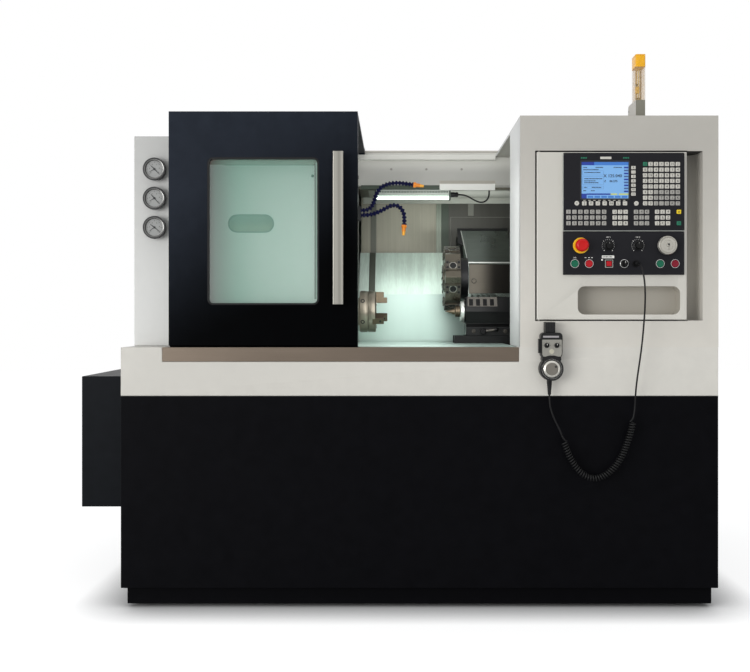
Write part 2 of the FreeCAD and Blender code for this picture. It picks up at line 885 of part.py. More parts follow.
def make_saddle():
    # the saddle grips both rails, passes round the crest of the way cover and carries the cross slide
    under = "-(cover_drop + liner_gauge + saddle_cover_gap)"
    over = "-(cover_drop - saddle_cover_gap)"
    top = f"{over} + saddle_arm"
    skirt = "-(rail_drop_top + 25)"
    seat = "-(rail_drop_top - seat_gap)"
    first = "bed_start + bed_rail_inset"
    second = "bed_start + bed_rail_inset + bed_rail_pitch"
    web = "cover_start + cover_length + saddle_web_gap"
    points = [(f"{first} - 25", skirt)]
    for low in (first, second):
        points += [(f"{low} - seat_gap", skirt), (f"{low} - seat_gap", seat),
                   (f"{low} + bed_rail_width + seat_gap", seat),
                   (f"{low} + bed_rail_width + seat_gap", skirt)]
    points += [(f"{web} + saddle_web", skirt), (f"{web} + saddle_web", top), ("cover_start - 20", top),
               ("cover_start - 20", over), (web, over), (web, under), (f"{first} - 25", under)]
    label("carriage", sloped("carriage", points, "saddle_left", "saddle_left + saddle_width"))

    base = f"{top} + seat_gap"
    plate = sloped("slide_plate", [
        ("slide_plate_front", base), ("slide_plate_back", base),
        ("slide_plate_back", f"{base} + slide_plate"),
        ("slide_plate_front", f"{base} + slide_plate")], "slide_left", "slide_left + slide_width")
    floor = f"{base} + slide_plate"
    housing = sloped("turret_block", [
        ("housing_front", "housing_top"), ("housing_back", "housing_top"), ("housing_back", floor),
        ("housing_chin + housing_chin_drop * 0.25", floor), ("housing_chin", "-housing_chin_drop")],
        "slide_left", "slide_left + slide_width")
    neck = cylinder("turret_neck", ("disc_right + disc_gap", "turret_y", "turret_z"), "x", "neck_radius",
                    "slide_left - disc_right")
    fins = []
    chin_y = "spindle_y + (housing_chin + housing_chin_drop) * slope_cos"
    chin_z = "spindle_height + (housing_chin - housing_chin_drop) * slope_sin"
    for i in range(5):
        x = f"slide_left + fin_inset + {i} * fin_pitch"
        fins.append(box(f"fin_gap_{i}", (x, f"{x} + fin_gap_width"),
                        (f"{chin_y} - fin_overrun", f"{chin_y} + fin_depth"),
                        (f"{chin_z} - fin_low", f"{chin_z} + fin_high")))
    plug = cylinder("oil_plug", ("slide_left + plug_inset", f"{chin_y} + plug_depth",
                                 "turret_z - plug_drop"),
                    "-y", "plug_radius", "plug_length")
    solid = cut("turret_casting", fuse("turret_blank", [plate, housing, neck]), fins)
    label("turret_slide", fuse("turret_slide", [solid, plug]))


def make_turret():
    stations = int(number("station_count"))
    step = 360 / stations
    blank = prism("disc_blank", ("disc_left", "turret_y", "turret_z"), "x", stations, "disc_radius",
                  "disc_width")
    hub = cylinder("disc_hub", ("disc_left - hub_height", "turret_y", "turret_z"), "x", "hub_radius",
                   "hub_height")
    flat = number("disc_radius") * math.cos(math.radians(step / 2))
    centre = Vector(number("disc_left + disc_width / 2"), number("turret_y"), number("turret_z"))
    sockets = []
    bolts = []
    for i in range(stations):
        angle = math.radians(i * step + step / 2)
        out = Vector(0, math.cos(angle), math.sin(angle))
        socket = doc.addObject("Part::Cylinder", f"socket_{i + 1}")
        bind(socket, {"Radius": "socket_radius", "Height": "socket_depth + 2"})
        start = centre + out * (flat - number("socket_depth"))
        socket.Placement = Placement(start, Rotation(Vector(0, 0, 1), out))
        sockets.append(socket)
        bolt = doc.addObject("Part::Prism", f"station_bolt_{i + 1}")
        bolt.Polygon = 6
        bind(bolt, {"Circumradius": "station_bolt_radius", "Height": "station_bolt_head"})
        spot = Vector(number("disc_left - station_bolt_head"), 0, 0)
        spot += Vector(0, centre.y, centre.z) + out * (flat * 0.72)
        bolt.Placement = Placement(spot, turns["x"])
        bolts.append(bolt)
    body = cut("disc_body", fuse("disc_solid", [blank, hub]), sockets)
    label("turret_disc", fuse("turret_disc", [body] + bolts))


def make_headstock():
    half = "headstock_half"
    casting = profiled("headstock_block", [
        (f"spindle_y - {half}", "deck_level"), (f"spindle_y + {half}", "deck_level"),
        (f"spindle_y + {half}", "spindle_height + headstock_top - headstock_chamfer"),
        (f"spindle_y + {half} - headstock_chamfer", "spindle_height + headstock_top"),
        (f"spindle_y - {half} + headstock_chamfer", "spindle_height + headstock_top"),
        (f"spindle_y - {half}", "spindle_height + headstock_top - headstock_chamfer")],
        "headstock_left", "headstock_right")
    bore = cylinder("headstock_bore", ("headstock_left - 1", "spindle_y", "spindle_height"), "x",
                    "bearing_radius + running_gap", "headstock_right - headstock_left + 2")
    label("headstock", cut("headstock", casting, [bore]))

    shaft = turned("spindle", ("spindle_left", "spindle_y", "spindle_height"), "x", [
        ("bore_radius", "0"), ("pulley_radius", "0"), ("pulley_radius", "pulley_rim"),
        ("pulley_radius - pulley_groove", "pulley_rim"),
        ("pulley_radius - pulley_groove", "pulley_width - pulley_rim"),
        ("pulley_radius", "pulley_width - pulley_rim"), ("pulley_radius", "pulley_width"),
        ("bearing_radius", "pulley_width"),
        ("bearing_radius", "chuck_left - spindle_left"), ("bore_radius", "chuck_left - spindle_left")])
    label("spindle", shaft)

    blank = turned("chuck_blank", ("chuck_left", "spindle_y", "spindle_height"), "x", [
        ("bore_radius", "0"), ("chuck_radius - chuck_chamfer", "0"), ("chuck_radius", "chuck_chamfer"),
        ("chuck_radius", "chuck_length * 0.45"), ("chuck_radius - 2", "chuck_length * 0.45 + 2"),
        ("chuck_radius - 2", "chuck_length * 0.45 + 5"), ("chuck_radius", "chuck_length * 0.45 + 7"),
        ("chuck_radius", "chuck_length - chuck_chamfer"), ("chuck_radius - chuck_chamfer", "chuck_length"),
        ("bore_radius", "chuck_length")])
    slots = []
    for i in range(3):
        turn = 90 + i * 120
        slots.append(radial_box(f"jaw_slot_{i + 1}", turn,
                                ("bore_radius + slot_margin", "chuck_radius + slot_overrun"),
                                "jaw_slot_width",
                                ("chuck_right - jaw_slot_depth", "chuck_right + slot_overrun")))
        grip = radial_box(f"jaw_base_{i + 1}", turn, ("jaw_inner", "jaw_outer"),
                          "jaw_slot_width - 2 * seat_gap",
                          ("chuck_right - jaw_slot_depth + seat_gap", "chuck_right + jaw_height"))
        step = radial_box(f"jaw_top_{i + 1}", turn, ("jaw_inner", "jaw_step"),
                          "jaw_slot_width - 2 * seat_gap",
                          ("chuck_right", "chuck_right + jaw_step_height"))
        label(f"chuck_jaw_{i + 1}", fuse(f"chuck_jaw_{i + 1}", [grip, step]))
    label("chuck_body", cut("chuck_body", blank, slots))


def radial_box(name, turn, reach, width, x):
    # a block that points away from the spindle axis
    block = doc.addObject("Part::Box", name)
    bind(block, {"Length": f"({x[1]}) - ({x[0]})", "Width": width,
                 "Height": f"({reach[1]}) - ({reach[0]})"})
    spin = Rotation(Vector(1, 0, 0), turn - 90)
    side = spin.multVec(Vector(0, 1, 0))
    out = spin.multVec(Vector(0, 0, 1))
    block.Placement = Placement(Vector(), spin)
    bind(block, {
        "Placement.Base.x": x[0],
        "Placement.Base.y": f"spindle_y + {out.y:.6f} * ({reach[0]}) - {side.y:.6f} * ({width}) / 2",
        "Placement.Base.z": f"spindle_height + {out.z:.6f} * ({reach[0]}) - {side.z:.6f} * ({width}) / 2"})
    return block


def make_tailstock():
    casting = profiled("tail_casting", [
        ("spindle_y - tail_half", "tail_bottom"), ("spindle_y + tail_half", "tail_bottom"),
        ("spindle_y + tail_half", "tail_bottom + tail_foot_height"),
        ("spindle_y + tail_half * 0.7", "tail_bottom + tail_foot_height + 14"),
        ("spindle_y + tail_half", "spindle_height"),
        ("spindle_y + tail_half * 0.5", "spindle_height + tail_half"),
        ("spindle_y - tail_half * 0.5", "spindle_height + tail_half"),
        ("spindle_y - tail_half", "spindle_height"),
        ("spindle_y - tail_half * 0.7", "tail_bottom + tail_foot_height + 14"),
        ("spindle_y - tail_half", "tail_bottom + tail_foot_height")], "tail_left",
        "tail_left + tail_length")
    bore = cylinder("tail_bore", ("tail_left - 1", "spindle_y", "spindle_height"), "x",
                    "quill_radius + running_gap", "tail_length + 2")
    label("tailstock_body", cut("tailstock_body", casting, [bore]))

    start = "tail_left - quill_nose"
    quill = turned("quill", (start, "spindle_y", "spindle_height"), "x", [
        ("centre_shank + running_gap", "0"), ("quill_radius - 3", "0"), ("quill_radius", "3"),
        ("quill_radius", "quill_length"), ("0", "quill_length"), ("0", "centre_seat + seat_gap"),
        ("centre_shank + running_gap", "centre_seat + seat_gap")])
    label("tailstock_quill", quill)
    centre = turned("live_centre", (f"{start} + centre_seat", "spindle_y", "spindle_height"), "-x", [
        ("0", "0"), ("centre_shank", "0"), ("centre_shank", "centre_seat + seat_gap"),
        ("centre_radius", "centre_seat + seat_gap"), ("centre_radius", "centre_seat + centre_body"),
        ("centre_shank", "centre_seat + centre_body + centre_chamfer"),
        ("0", "centre_seat + centre_body + centre_length")])
    label("live_centre", centre)


def make_panel():
    inner = rounded("box_blank", box("box_block", ("box_left", "box_right"),
                                     ("base_front", "base_front + box_depth"),
                    ("box_bottom", "box_top")), "box_corner", runs_along("z"))
    tray = rounded("tray_room", box("tray_block", ("box_left + tray_left",
                                                   "box_left + tray_left + tray_width"),
                   ("base_front - tray_depth", "base_front + tray_depth"),
                   ("box_bottom + tray_level", "box_bottom + tray_level + tray_height")),
                   "tray_corner", runs_along("y"))
    bores = [cylinder("pin_bore_low", ("pin_x", "pin_y", "box_bottom - 1"), "z", "pin_radius + running_gap",
                      "pin_length + 1"),
             cylinder("pin_bore_high", ("pin_x", "pin_y", "box_top - pin_length"), "z",
                      "pin_radius + running_gap",
                      "pin_length + 1")]
    label("control_box", cut("control_box", inner, [tray] + bores))

    plate = box("unit_plate", ("unit_x", "unit_x + unit_width"), ("unit_front", "base_front"),
                ("unit_z", "unit_z + unit_height"))
    recess = box("screen_recess", ("unit_x + screen_left", "unit_x + screen_left + screen_width"),
                 ("unit_front - 1", "unit_front + screen_recess"),
                 ("unit_z + screen_level", "unit_z + screen_level + screen_height"))
    keys = []
    for row in range(8):
        for column in range(7):
            keys.append(key(f"pad_key_{row}_{column}", f"pad_left + {column} * key_pitch_across",
                            f"pad_level + {row} * key_pitch_up"))
    for row in range(3):
        for first, count in ((0, 7), (8.5, 3), (12.4, 3), (16.3, 3)):
            for column in range(count):
                keys.append(key(f"row_key_{row}_{first + column:.0f}",
                                f"row_left + {first + column} * key_pitch_across",
                                f"row_level + {row} * row_pitch_up"))
    for column in range(7):
        keys.append(key(f"soft_key_{column}", f"screen_left + {column + 0.4} * key_pitch_across * 1.14",
                        "pad_level"))
    for row in range(7):
        keys.append(key(f"side_key_{row}", "screen_left + screen_width + 9",
                        f"screen_level + {row} * key_pitch_up * 0.88"))
    for row in (0, 2):
        keys.append(key(f"cycle_key_{row}", "pad_left + 6.2 * key_pitch_across",
                        f"row_level + {row} * row_pitch_up"))
    label("control_unit", fuse("control_unit", [cut("unit_blank", plate, [recess])] + keys))

    label("display", box("display", ("unit_x + screen_left + seat_gap",
                                     "unit_x + screen_left + screen_width - seat_gap"),
                         ("unit_front + 1", "unit_front + screen_recess"),
                         ("unit_z + screen_level + seat_gap",
                          "unit_z + screen_level + screen_height - seat_gap")))


def key(name, across, up):
    # one membrane key, raised on the front of the control unit
    return box(name, (f"unit_x + {across}", f"unit_x + {across} + key_width"),
               ("unit_front - key_lift", "unit_front"), (f"unit_z + {up}", f"unit_z + {up} + key_height"))


def control(name, across, up, turn_profile):
    # something round that stands on the operator panel
    return turned(name, (f"unit_x + {across}", "panel_front", up), "-y", turn_profile)


def make_controls():
    plate = box("panel_plate", ("unit_x", "unit_x + unit_width"), ("panel_front", "base_front"),
                ("panel_z", "panel_z + panel_height"))
    wells = []
    bezels = []
    caps = (("start_button", "start_across"), ("halt_button", "halt_across"),
            ("reset_button", "reset_across"),
            ("clamp_button", "clamp_across"), ("light_button", "light_across"))
    for name, across in caps:
        wells.append(cylinder(f"{name}_well", (f"unit_x + {across}",
                                               "panel_front + button_travel + well_floor_gap",
                              "lower_z"), "-y", "button_radius + seat_gap", "button_height * 3"))
        bezels.append(cylinder(f"{name}_bezel", (f"unit_x + {across}", "panel_front", "lower_z"), "-y",
                               "button_bezel", "bezel_height"))
        cap = control(name, across, "lower_z", [
            ("0", "-well_floor_gap"), ("button_radius", "-well_floor_gap"),
            ("button_radius", "button_height - cap_round"),
            ("button_radius - cap_round", "button_height"), ("0", "button_height")])
        label(name, cap)
    wells.append(cylinder("stop_well", ("unit_x + stop_across",
                                        "panel_front + stop_travel + well_floor_gap",
                          "upper_z"), "-y", "stop_neck_radius + seat_gap", "stop_height"))
    label("operator_panel", cut("operator_panel", fuse("panel_blank", [plate] + bezels), wells))

    for name, across in (("spindle_knob", "first_knob_across"), ("feed_knob", "second_knob_across")):
        skirt = control(f"{name}_body", across, "upper_z", [
            ("0", "plate_gauge"), ("knob_radius", "plate_gauge"), ("knob_radius", "knob_skirt"),
            ("knob_radius * 0.72", "knob_shoulder"), ("knob_radius * 0.66", "knob_height"),
            ("0", "knob_height")])
        mark = box(f"{name}_mark", (f"unit_x + {across} - mark_width / 2",
                                    f"unit_x + {across} + mark_width / 2"),
                   ("panel_front - knob_height - mark_gauge", "panel_front - knob_height"),
                   ("upper_z", "upper_z + mark_length"))
        label(name, fuse(name, [skirt, mark]))
    ward = control("key_barrel", "selector_across", "lower_z", [
        ("0", "seat_gap"), ("button_radius + barrel_lip", "seat_gap"),
        ("button_radius + barrel_lip", "barrel_flange"), ("button_radius", "barrel_shoulder"),
        ("button_radius", "barrel_height"), ("0", "barrel_height")])
    bow = box("key_bow", ("unit_x + selector_across - bow_gauge / 2",
                          "unit_x + selector_across + bow_gauge / 2"),
              ("panel_front - bow_height", "panel_front - barrel_height"),
              ("lower_z - bow_width / 2", "lower_z + bow_width / 2"))
    label("key_switch", fuse("key_switch", [ward, bow]))

    stop_ring = control("stop_plate", "stop_across", "upper_z", [
        ("stop_neck_radius + 1", "0"), ("stop_plate_radius", "0"),
        ("stop_plate_radius", "stop_plate_height"),
        ("stop_neck_radius + 1", "stop_plate_height")])
    plates = [stop_ring]
    for tag, across in (("first", "first_knob_across"), ("second", "second_knob_across")):
        plates.append(cylinder(f"{tag}_scale", (f"unit_x + {across}", "panel_front", "upper_z"), "-y",
                               "knob_radius + scale_margin", "plate_gauge - seat_gap"))
    plates.append(box("name_plate", ("unit_x + reset_across - name_width / 2",
                                     "unit_x + reset_across + name_width / 2"),
                      ("panel_front - plate_gauge", "panel_front"),
                      ("lower_z + name_level", "lower_z + name_level + name_height")))
    label("legend_plates", group("legend_plates", plates))

    head = control("stop_button", "stop_across", "upper_z", [
        ("0", "-well_floor_gap / 2"), ("stop_neck_radius", "-well_floor_gap / 2"),
        ("stop_neck_radius", "stop_plate_height + stop_travel + stop_neck_rise"),
        ("stop_head_radius", "stop_plate_height + stop_travel + stop_rim_rise"),
        ("stop_head_radius", "stop_height - stop_dome"),
        ("stop_head_radius * 0.75", "stop_height - stop_crown"), ("0", "stop_height")])
    label("stop_button", head)

    dial = control("handwheel", "wheel_across", "upper_z", [
        ("0", "seat_gap"), ("wheel_radius * 0.8", "seat_gap"), ("wheel_radius * 0.8", "wheel_neck"),
        ("wheel_radius", "wheel_shoulder"), ("wheel_radius", "wheel_height - wheel_round"),
        ("wheel_radius - wheel_round", "wheel_height"), ("0", "wheel_height")])
    dimple = cylinder("wheel_dimple", ("unit_x + wheel_across + dimple_shift",
                                       "panel_front - wheel_height + dimple_depth",
                      "upper_z"), "-y", "dimple_radius", "dimple_length")
    label("handwheel", cut("handwheel", dial, [dimple]))

    gland = control("cord_gland", "gland_across", "lower_z", [
        ("0", "0"), ("gland_radius * 1.35", "0"), ("gland_radius * 1.35", "gland_flange"),
        ("gland_radius", "gland_flange + gland_round"), ("gland_radius * 0.85",
                                                         "gland_height - gland_taper"),
        ("cord_radius + gland_round", "gland_height"), ("0", "gland_height")])
    label("cord_gland", gland)


def make_pendant():
    back = box("holder_back", ("holder_left", "holder_left + holder_width"),
               ("base_front - holder_gauge", "base_front"),
               ("holder_level", "holder_level + holder_height"))
    arm = box("holder_arm", ("holder_left", "holder_left + holder_width"),
              ("base_front - holder_reach", "base_front - holder_gauge"),
              ("pendant_top + seat_gap", "holder_level + holder_height"))
    label("pendant_holder", fuse("pendant_holder", [back, arm]))

    upper = rounded("pendant_upper", box("pendant_block", ("pendant_left", "pendant_right"),
                    ("pendant_front", "pendant_back"), ("pendant_level", "pendant_top")),
                    "pendant_corner", runs_along("y"))
    waist = box("pendant_waist", ("pendant_centre - pendant_half * 0.72",
                                  "pendant_centre + pendant_half * 0.72"),
                ("pendant_front + 4", "pendant_back"), ("pendant_wheel_level", "pendant_level + 20"))
    barrel = cylinder("pendant_barrel", ("pendant_centre", "pendant_back", "pendant_wheel_level"), "-y",
                      "pendant_barrel", "pendant_depth - 2")
    relief = cone("pendant_relief", ("relief_across", "pendant_middle", "relief_level"), "z",
                  "relief_end_radius",
                  "relief_top_radius", "pendant_wheel_level - relief_level")
    button_room = box("enable_room", ("pendant_left - 1", "pendant_left + enable_travel + 2"),
                      ("pendant_middle - enable_depth / 2 - seat_gap",
                       "pendant_middle + enable_depth / 2 + seat_gap"),
                      ("pendant_level + 14 - seat_gap",
                       "pendant_level + 14 + enable_height - 10 + seat_gap"))
    body = fuse("pendant_blank", [upper, waist, barrel, relief])
    label("pendant_body", cut("pendant_body", body, [button_room]))

    enable = box("enable_button", ("pendant_left - enable_width + 2", "pendant_left + 2 - seat_gap"),
                 ("pendant_middle - enable_depth / 2", "pendant_middle + enable_depth / 2"),
                 ("pendant_level + 14", "pendant_level + 14 + enable_height - 10"))
    label("enable_button", enable)

    dial = turned("pendant_dial", ("pendant_centre", "pendant_front + 2 - seat_gap",
                                   "pendant_wheel_level"), "-y", [
        ("0", "0"), ("pendant_dial_radius", "0"), ("pendant_dial_radius", "pendant_dial_height * 0.6"),
        ("pendant_dial_radius - 7", "pendant_dial_height"), ("0", "pendant_dial_height")])
    label("pendant_dial", dial)
    for name, side in (("axis_knob", -1), ("step_knob", 1)):
        at = (f"pendant_centre + {side} * pendant_knob_spread", "pendant_front - seat_gap",
              "pendant_knob_level")
        knob = turned(f"{name}_body", at, "-y", [
            ("0", "0"), ("pendant_knob_radius", "0"), ("pendant_knob_radius * 0.8", "pendant_knob_height"),
            ("0", "pendant_knob_height")])
        mark = box(f"{name}_mark", (f"{at[0]} - 1", f"{at[0]} + 1"),
                   (f"{at[1]} - pendant_knob_height - 1", f"{at[1]} - pendant_knob_height"),
                   ("pendant_knob_level", "pendant_knob_level + pendant_knob_radius * 0.7"))
        label(name, fuse(name, [knob, mark]))


def make_tower():
    foot = box("tower_foot", ("tower_left", "tower_left + tower_width"),
               ("tower_y", "tower_y + tower_base_depth"),
               ("cabinet_top", "tower_lens_level"))
    core = cylinder("tower_core", ("tower_left + tower_width / 2", "tower_y + tower_lens_depth / 2",
                                   "tower_lens_level"),
                    "z", "tower_core_radius", "tower_lens_height - 3 * tower_wall")
    label("tower_base", fuse("tower_base", [foot, core]))
    shell = box("lens_shell", ("tower_left", "tower_left + tower_width + 2"),
                ("tower_y", "tower_y + tower_lens_depth"),
                ("tower_lens_level", "tower_lens_level + tower_lens_height"))
    room = box("lens_room", ("tower_left + tower_wall", "tower_left + tower_width + 2 - tower_wall"),
               ("tower_y + tower_wall", "tower_y + tower_lens_depth - tower_wall"),
               ("tower_lens_level - 1", "tower_lens_level + tower_lens_height - tower_wall"))
    soft_shell = rounded("lens_round", shell, "tower_wall", runs_along("z"))
    label("tower_lens", cut("tower_lens", soft_shell, [room]))


def corner_arc(start, corner, end):
    # the arc that leaves start towards the corner and ends at end, with its radius
    room = (corner - start).Length
    bend = room / math.tan((corner - start).getAngle(end - corner) / 2)
    inward = ((start + end) * 0.5 - corner).normalize()
    middle = corner + inward * (math.hypot(room, bend) - bend)
    return Part.Arc(start, middle, end).toShape(), bend


def route_path(points):
    # straight runs joined by tangent arcs, each as large as its two runs allow, and the least radius
    edges = []
    bends = []
    at = points[0]
    for before, corner, after in zip(points, points[1:], points[2:]):
        room = 0.45 * min((corner - before).Length, (after - corner).Length)
        start = corner + (before - corner).normalize() * room
        end = corner + (after - corner).normalize() * room
        arc, bend = corner_arc(start, corner, end)
        edges += [Part.LineSegment(at, start).toShape(), arc]
        bends.append(bend)
        at = end
    edges.append(Part.LineSegment(at, points[-1]).toShape())
    return Part.Wire(edges), min(bends)


def flat_ring(centre, along, radius, sides):
    # an outline of straight sides round a route, square to its direction
    steady = Vector(1, 0, 0) if abs(along.y) > 0.9 else Vector(0, 1, 0)
    up = along.cross(steady).normalize()
    side = up.cross(along)
    corners = []
    for i in range(sides):
        angle = 2 * math.pi * i / sides
        corners.append(centre + side * (radius * math.cos(angle)) + up * (radius * math.sin(angle)))
    return Part.makePolygon(corners + corners[:1])


def add_tube(name, path, bend, radius, sides):
    # a faceted wire pulled along its path, compared with its section times its length
    start = path.Edges[0]
    along = (start.valueAt(start.LastParameter) - start.valueAt(start.FirstParameter)).normalize()
    section = flat_ring(path.OrderedVertexes[0].Point, along, radius, sides)
    part = doc.addObject("Part::Feature", name)
    part.Shape = path.makePipeShell([section], True, False)
    area = sides / 2 * radius ** 2 * math.sin(2 * math.pi / sides)
    share = part.Shape.Volume / (area * path.Length)
    print(f"{name}: length {path.Length:.1f}, least bend radius {bend:.1f}, volume share {share:.4f}")
    return label(name, part)


def biarc(start, start_way, end, end_way):
    # two arcs that leave start and reach end along the given directions, with their least radius
    gap = end - start
    both = start_way + end_way
    spread = 2 * (1 - start_way.dot(end_way))
    reach = (math.sqrt(gap.dot(both) ** 2 + spread * gap.dot(gap)) - gap.dot(both)) / spread
    first_corner = start + start_way * reach
    last_corner = end - end_way * reach
    middle = (first_corner + last_corner) * 0.5
    first, first_bend = corner_arc(start, first_corner, middle)
    last, last_bend = corner_arc(middle, last_corner, end)
    return [first, last], min(first_bend, last_bend)


def curled_path(points):
    # a wire wound round a route: a straight lead, a swing out to the curls, half turns, and the same back
    route = route_path(points)[0]
    lead = number("curl_lead")
    swing = number("curl_swing")
    radius = number("curl_radius")
    halves = int(number("curl_count")) * 2
    steps = 2000
    spots = route.discretize(Number=steps + 1)
    first = lead + swing
    pitch = (route.Length - 2 * first) / halves * 2

    def on_route(length):
        place_on = length / route.Length * steps
        i = min(int(place_on), steps - 1)
        return spots[i] + (spots[i + 1] - spots[i]) * (place_on - i)

    def on_curl(length):
        along = (on_route(length + 1) - on_route(length - 1)).normalize()
        side = Vector(0, 1, 0)
        up = side.cross(along)
        angle = 2 * math.pi * (length - first) / pitch
        return on_route(length) + (up * math.cos(angle) + side * math.sin(angle)) * radius

    lengths = [first + pitch / 2 * i for i in range(halves + 1)]
    stops = [on_curl(length) for length in lengths]
    ways = [(on_curl(length + 0.1) - on_curl(length - 0.1)).normalize() for length in lengths]
    start_way = (points[1] - points[0]).normalize()
    end_way = (points[-1] - points[-2]).normalize()
    stops = [points[0] + start_way * lead] + stops + [points[-1] - end_way * lead]
    ways = [start_way] + ways + [end_way]
    edges = [Part.LineSegment(points[0], stops[0]).toShape()]
    bends = []
    for i in range(len(stops) - 1):
        arcs, bend = biarc(stops[i], ways[i], stops[i + 1], ways[i + 1])
        edges += arcs
        bends.append(bend)
    edges.append(Part.LineSegment(stops[-1], points[-1]).toShape())
    path = Part.Wire(edges)
    print(f"curls: pitch {pitch:.2f}, least gap {least_gap(path, 2 * math.pi * radius):.2f}")
    return path, min(bends)


def least_gap(path, turn):
    # the least free space between one curl and the next, from points about 1 mm apart
    spots = path.discretize(Number=int(path.Length))
    near = int(turn / 2)
    gap = path.Length
    for i, spot in enumerate(spots):
        for other in spots[i + near:i + near * 4]:
            gap = min(gap, (other - spot).Length)
    return gap - 2 * number("cord_radius")


def make_cords():
    wire = number("cord_radius")
    sides = int(number("cord_sides"))
    gland = Vector(number("unit_x + gland_across"), number("gland_tip"), number("lower_z"))
    y = number("pendant_middle")
    relief = Vector(number("relief_across"), y, number("relief_level"))
    upper = [
        gland, gland + Vector(0, -20, 0), gland + Vector(1.5, -40, -10), Vector(746, -830, 1152),
        Vector(751, -831, 1124), Vector(755, -826, 1085), Vector(757, -815, 1035), Vector(756, -804, 980),
        Vector(753, -797, 925), Vector(747, -794, 870), Vector(739, -793, 815), Vector(733, -790, 765),
        Vector(732, -783, 725), Vector(731.6, y, 689), Vector(728, y, 662)]
    path, bend = route_path(upper)
    add_tube("cord_upper", path, bend, wire, sides)
    coil = [
        Vector(728, y, 662), Vector(724, y, 632), Vector(713, y, 595), Vector(701, y, 558),
        Vector(685.5, y, 522), Vector(664, y, 490), Vector(633, y, 462), Vector(596, y, 449),
        Vector(560, y, 459), Vector(532, y, 487), Vector(511.5, y, 521), Vector(496.5, y, 558),
        Vector(484.5, y, 593)]
    path, bend = curled_path(coil)
    add_tube("cord_coil", path, bend, wire, int(number("curl_sides")))
    lower = [
        Vector(484.5, y, 593), Vector(477.36, y, 613.82), Vector(462, y, 643), Vector(448, y, 676),
        Vector(relief.x, y, 708), relief]
    path, bend = route_path(lower)
    add_tube("cord_lower", path, bend, wire, sides)


def make_lamp():
    front = "rear_front + beam_depth / 2 - lamp_depth / 2"
    middle = f"{front} + lamp_depth / 2"
    right = "lamp_left + lamp_length"
    housing = box("lamp_housing", ("lamp_left", right), (front, f"{front} + lamp_depth"),
                  ("lamp_level + lamp_tube_radius", "lamp_level + lamp_height"))
    tube = cylinder("lamp_tube", ("lamp_left + lamp_tube_inset", middle, "lamp_level + lamp_tube_radius"),
                    "x",
                    "lamp_tube_radius", "lamp_length - 2 * lamp_tube_inset")
    hanger = box("lamp_hanger", ("lamp_left + lamp_hanger_inset", f"{right} - lamp_hanger_inset"),
                 (f"{middle} - lamp_hanger_gauge / 2", f"{middle} + lamp_hanger_gauge / 2"),
                 ("lamp_level + lamp_height", "beam_bottom"))
    plug = cylinder("lamp_plug", (right, middle, "lamp_level + lamp_plug_lift"), "x", "lamp_plug_radius",
                    "lamp_plug_length")
    label("work_lamp", fuse("work_lamp", [housing, tube, hanger, plug]))

    socket = Vector(number(f"{right} + lamp_plug_length"), number(middle),
                    number("lamp_level + lamp_plug_lift"))
    entry = Vector(socket.x + number("cable_reach"), socket.y, number("beam_bottom"))
    cable = [
        socket, socket + Vector(20, 0, 0), socket + Vector(44, 0, -8), socket + Vector(70, 0, -24),
        socket + Vector(94, 0, -34), socket + Vector(116, 0, -30), socket + Vector(130, 0, -14),
        entry - Vector(0, 0, 24), entry]
    path, bend = route_path(cable)
    add_tube("lamp_cable", path, bend, number("cable_radius"), int(number("cord_sides")))


def lofted(name, rings):
    # straight walls from ring to ring, closed at both ends
    part = doc.addObject("Part::Feature", name)
    part.Shape = Part.makeLoft(rings, True, True)
    return part


def ribbed_hose(name, points):
    # a hose of ball-jointed links: each link swells from its waist to its rib and back
    path, bend = route_path(points)
    radius = number("hose_radius")
    waist = number("hose_waist")
    sides = int(number("hose_sides"))
    lead = 2 * waist
    links = round((path.Length - 2 * lead) / number("hose_rib_pitch"))
    pitch = (path.Length - 2 * lead) / links
    steps = 1000
    spots = path.discretize(Number=steps + 1)

    def ring_at(length, size):
        i = round(length / path.Length * steps)
        along = (spots[min(i + 1, steps)] - spots[max(i - 1, 0)]).normalize()
        return flat_ring(spots[i], along, size, sides)

    profile = ((0, waist), (0.25, radius), (0.6, radius), (0.85, waist))
    stations = [(lead + (i + share) * pitch, size) for i in range(links) for share, size in profile]
    stations = [(0, waist)] + stations + [(path.Length, waist)]
    walls = lofted(f"{name}_walls", [ring_at(*station) for station in stations])
    joints = [0] + [lead + i * pitch for i in range(links + 1)] + [path.Length]
    bore = lofted(f"{name}_bore", [ring_at(length, number("hose_bore")) for length in joints])
    print(f"{name}: length {path.Length:.1f}, {links} links, least bend radius {bend:.1f}")
    return cut(name, walls, [bore])


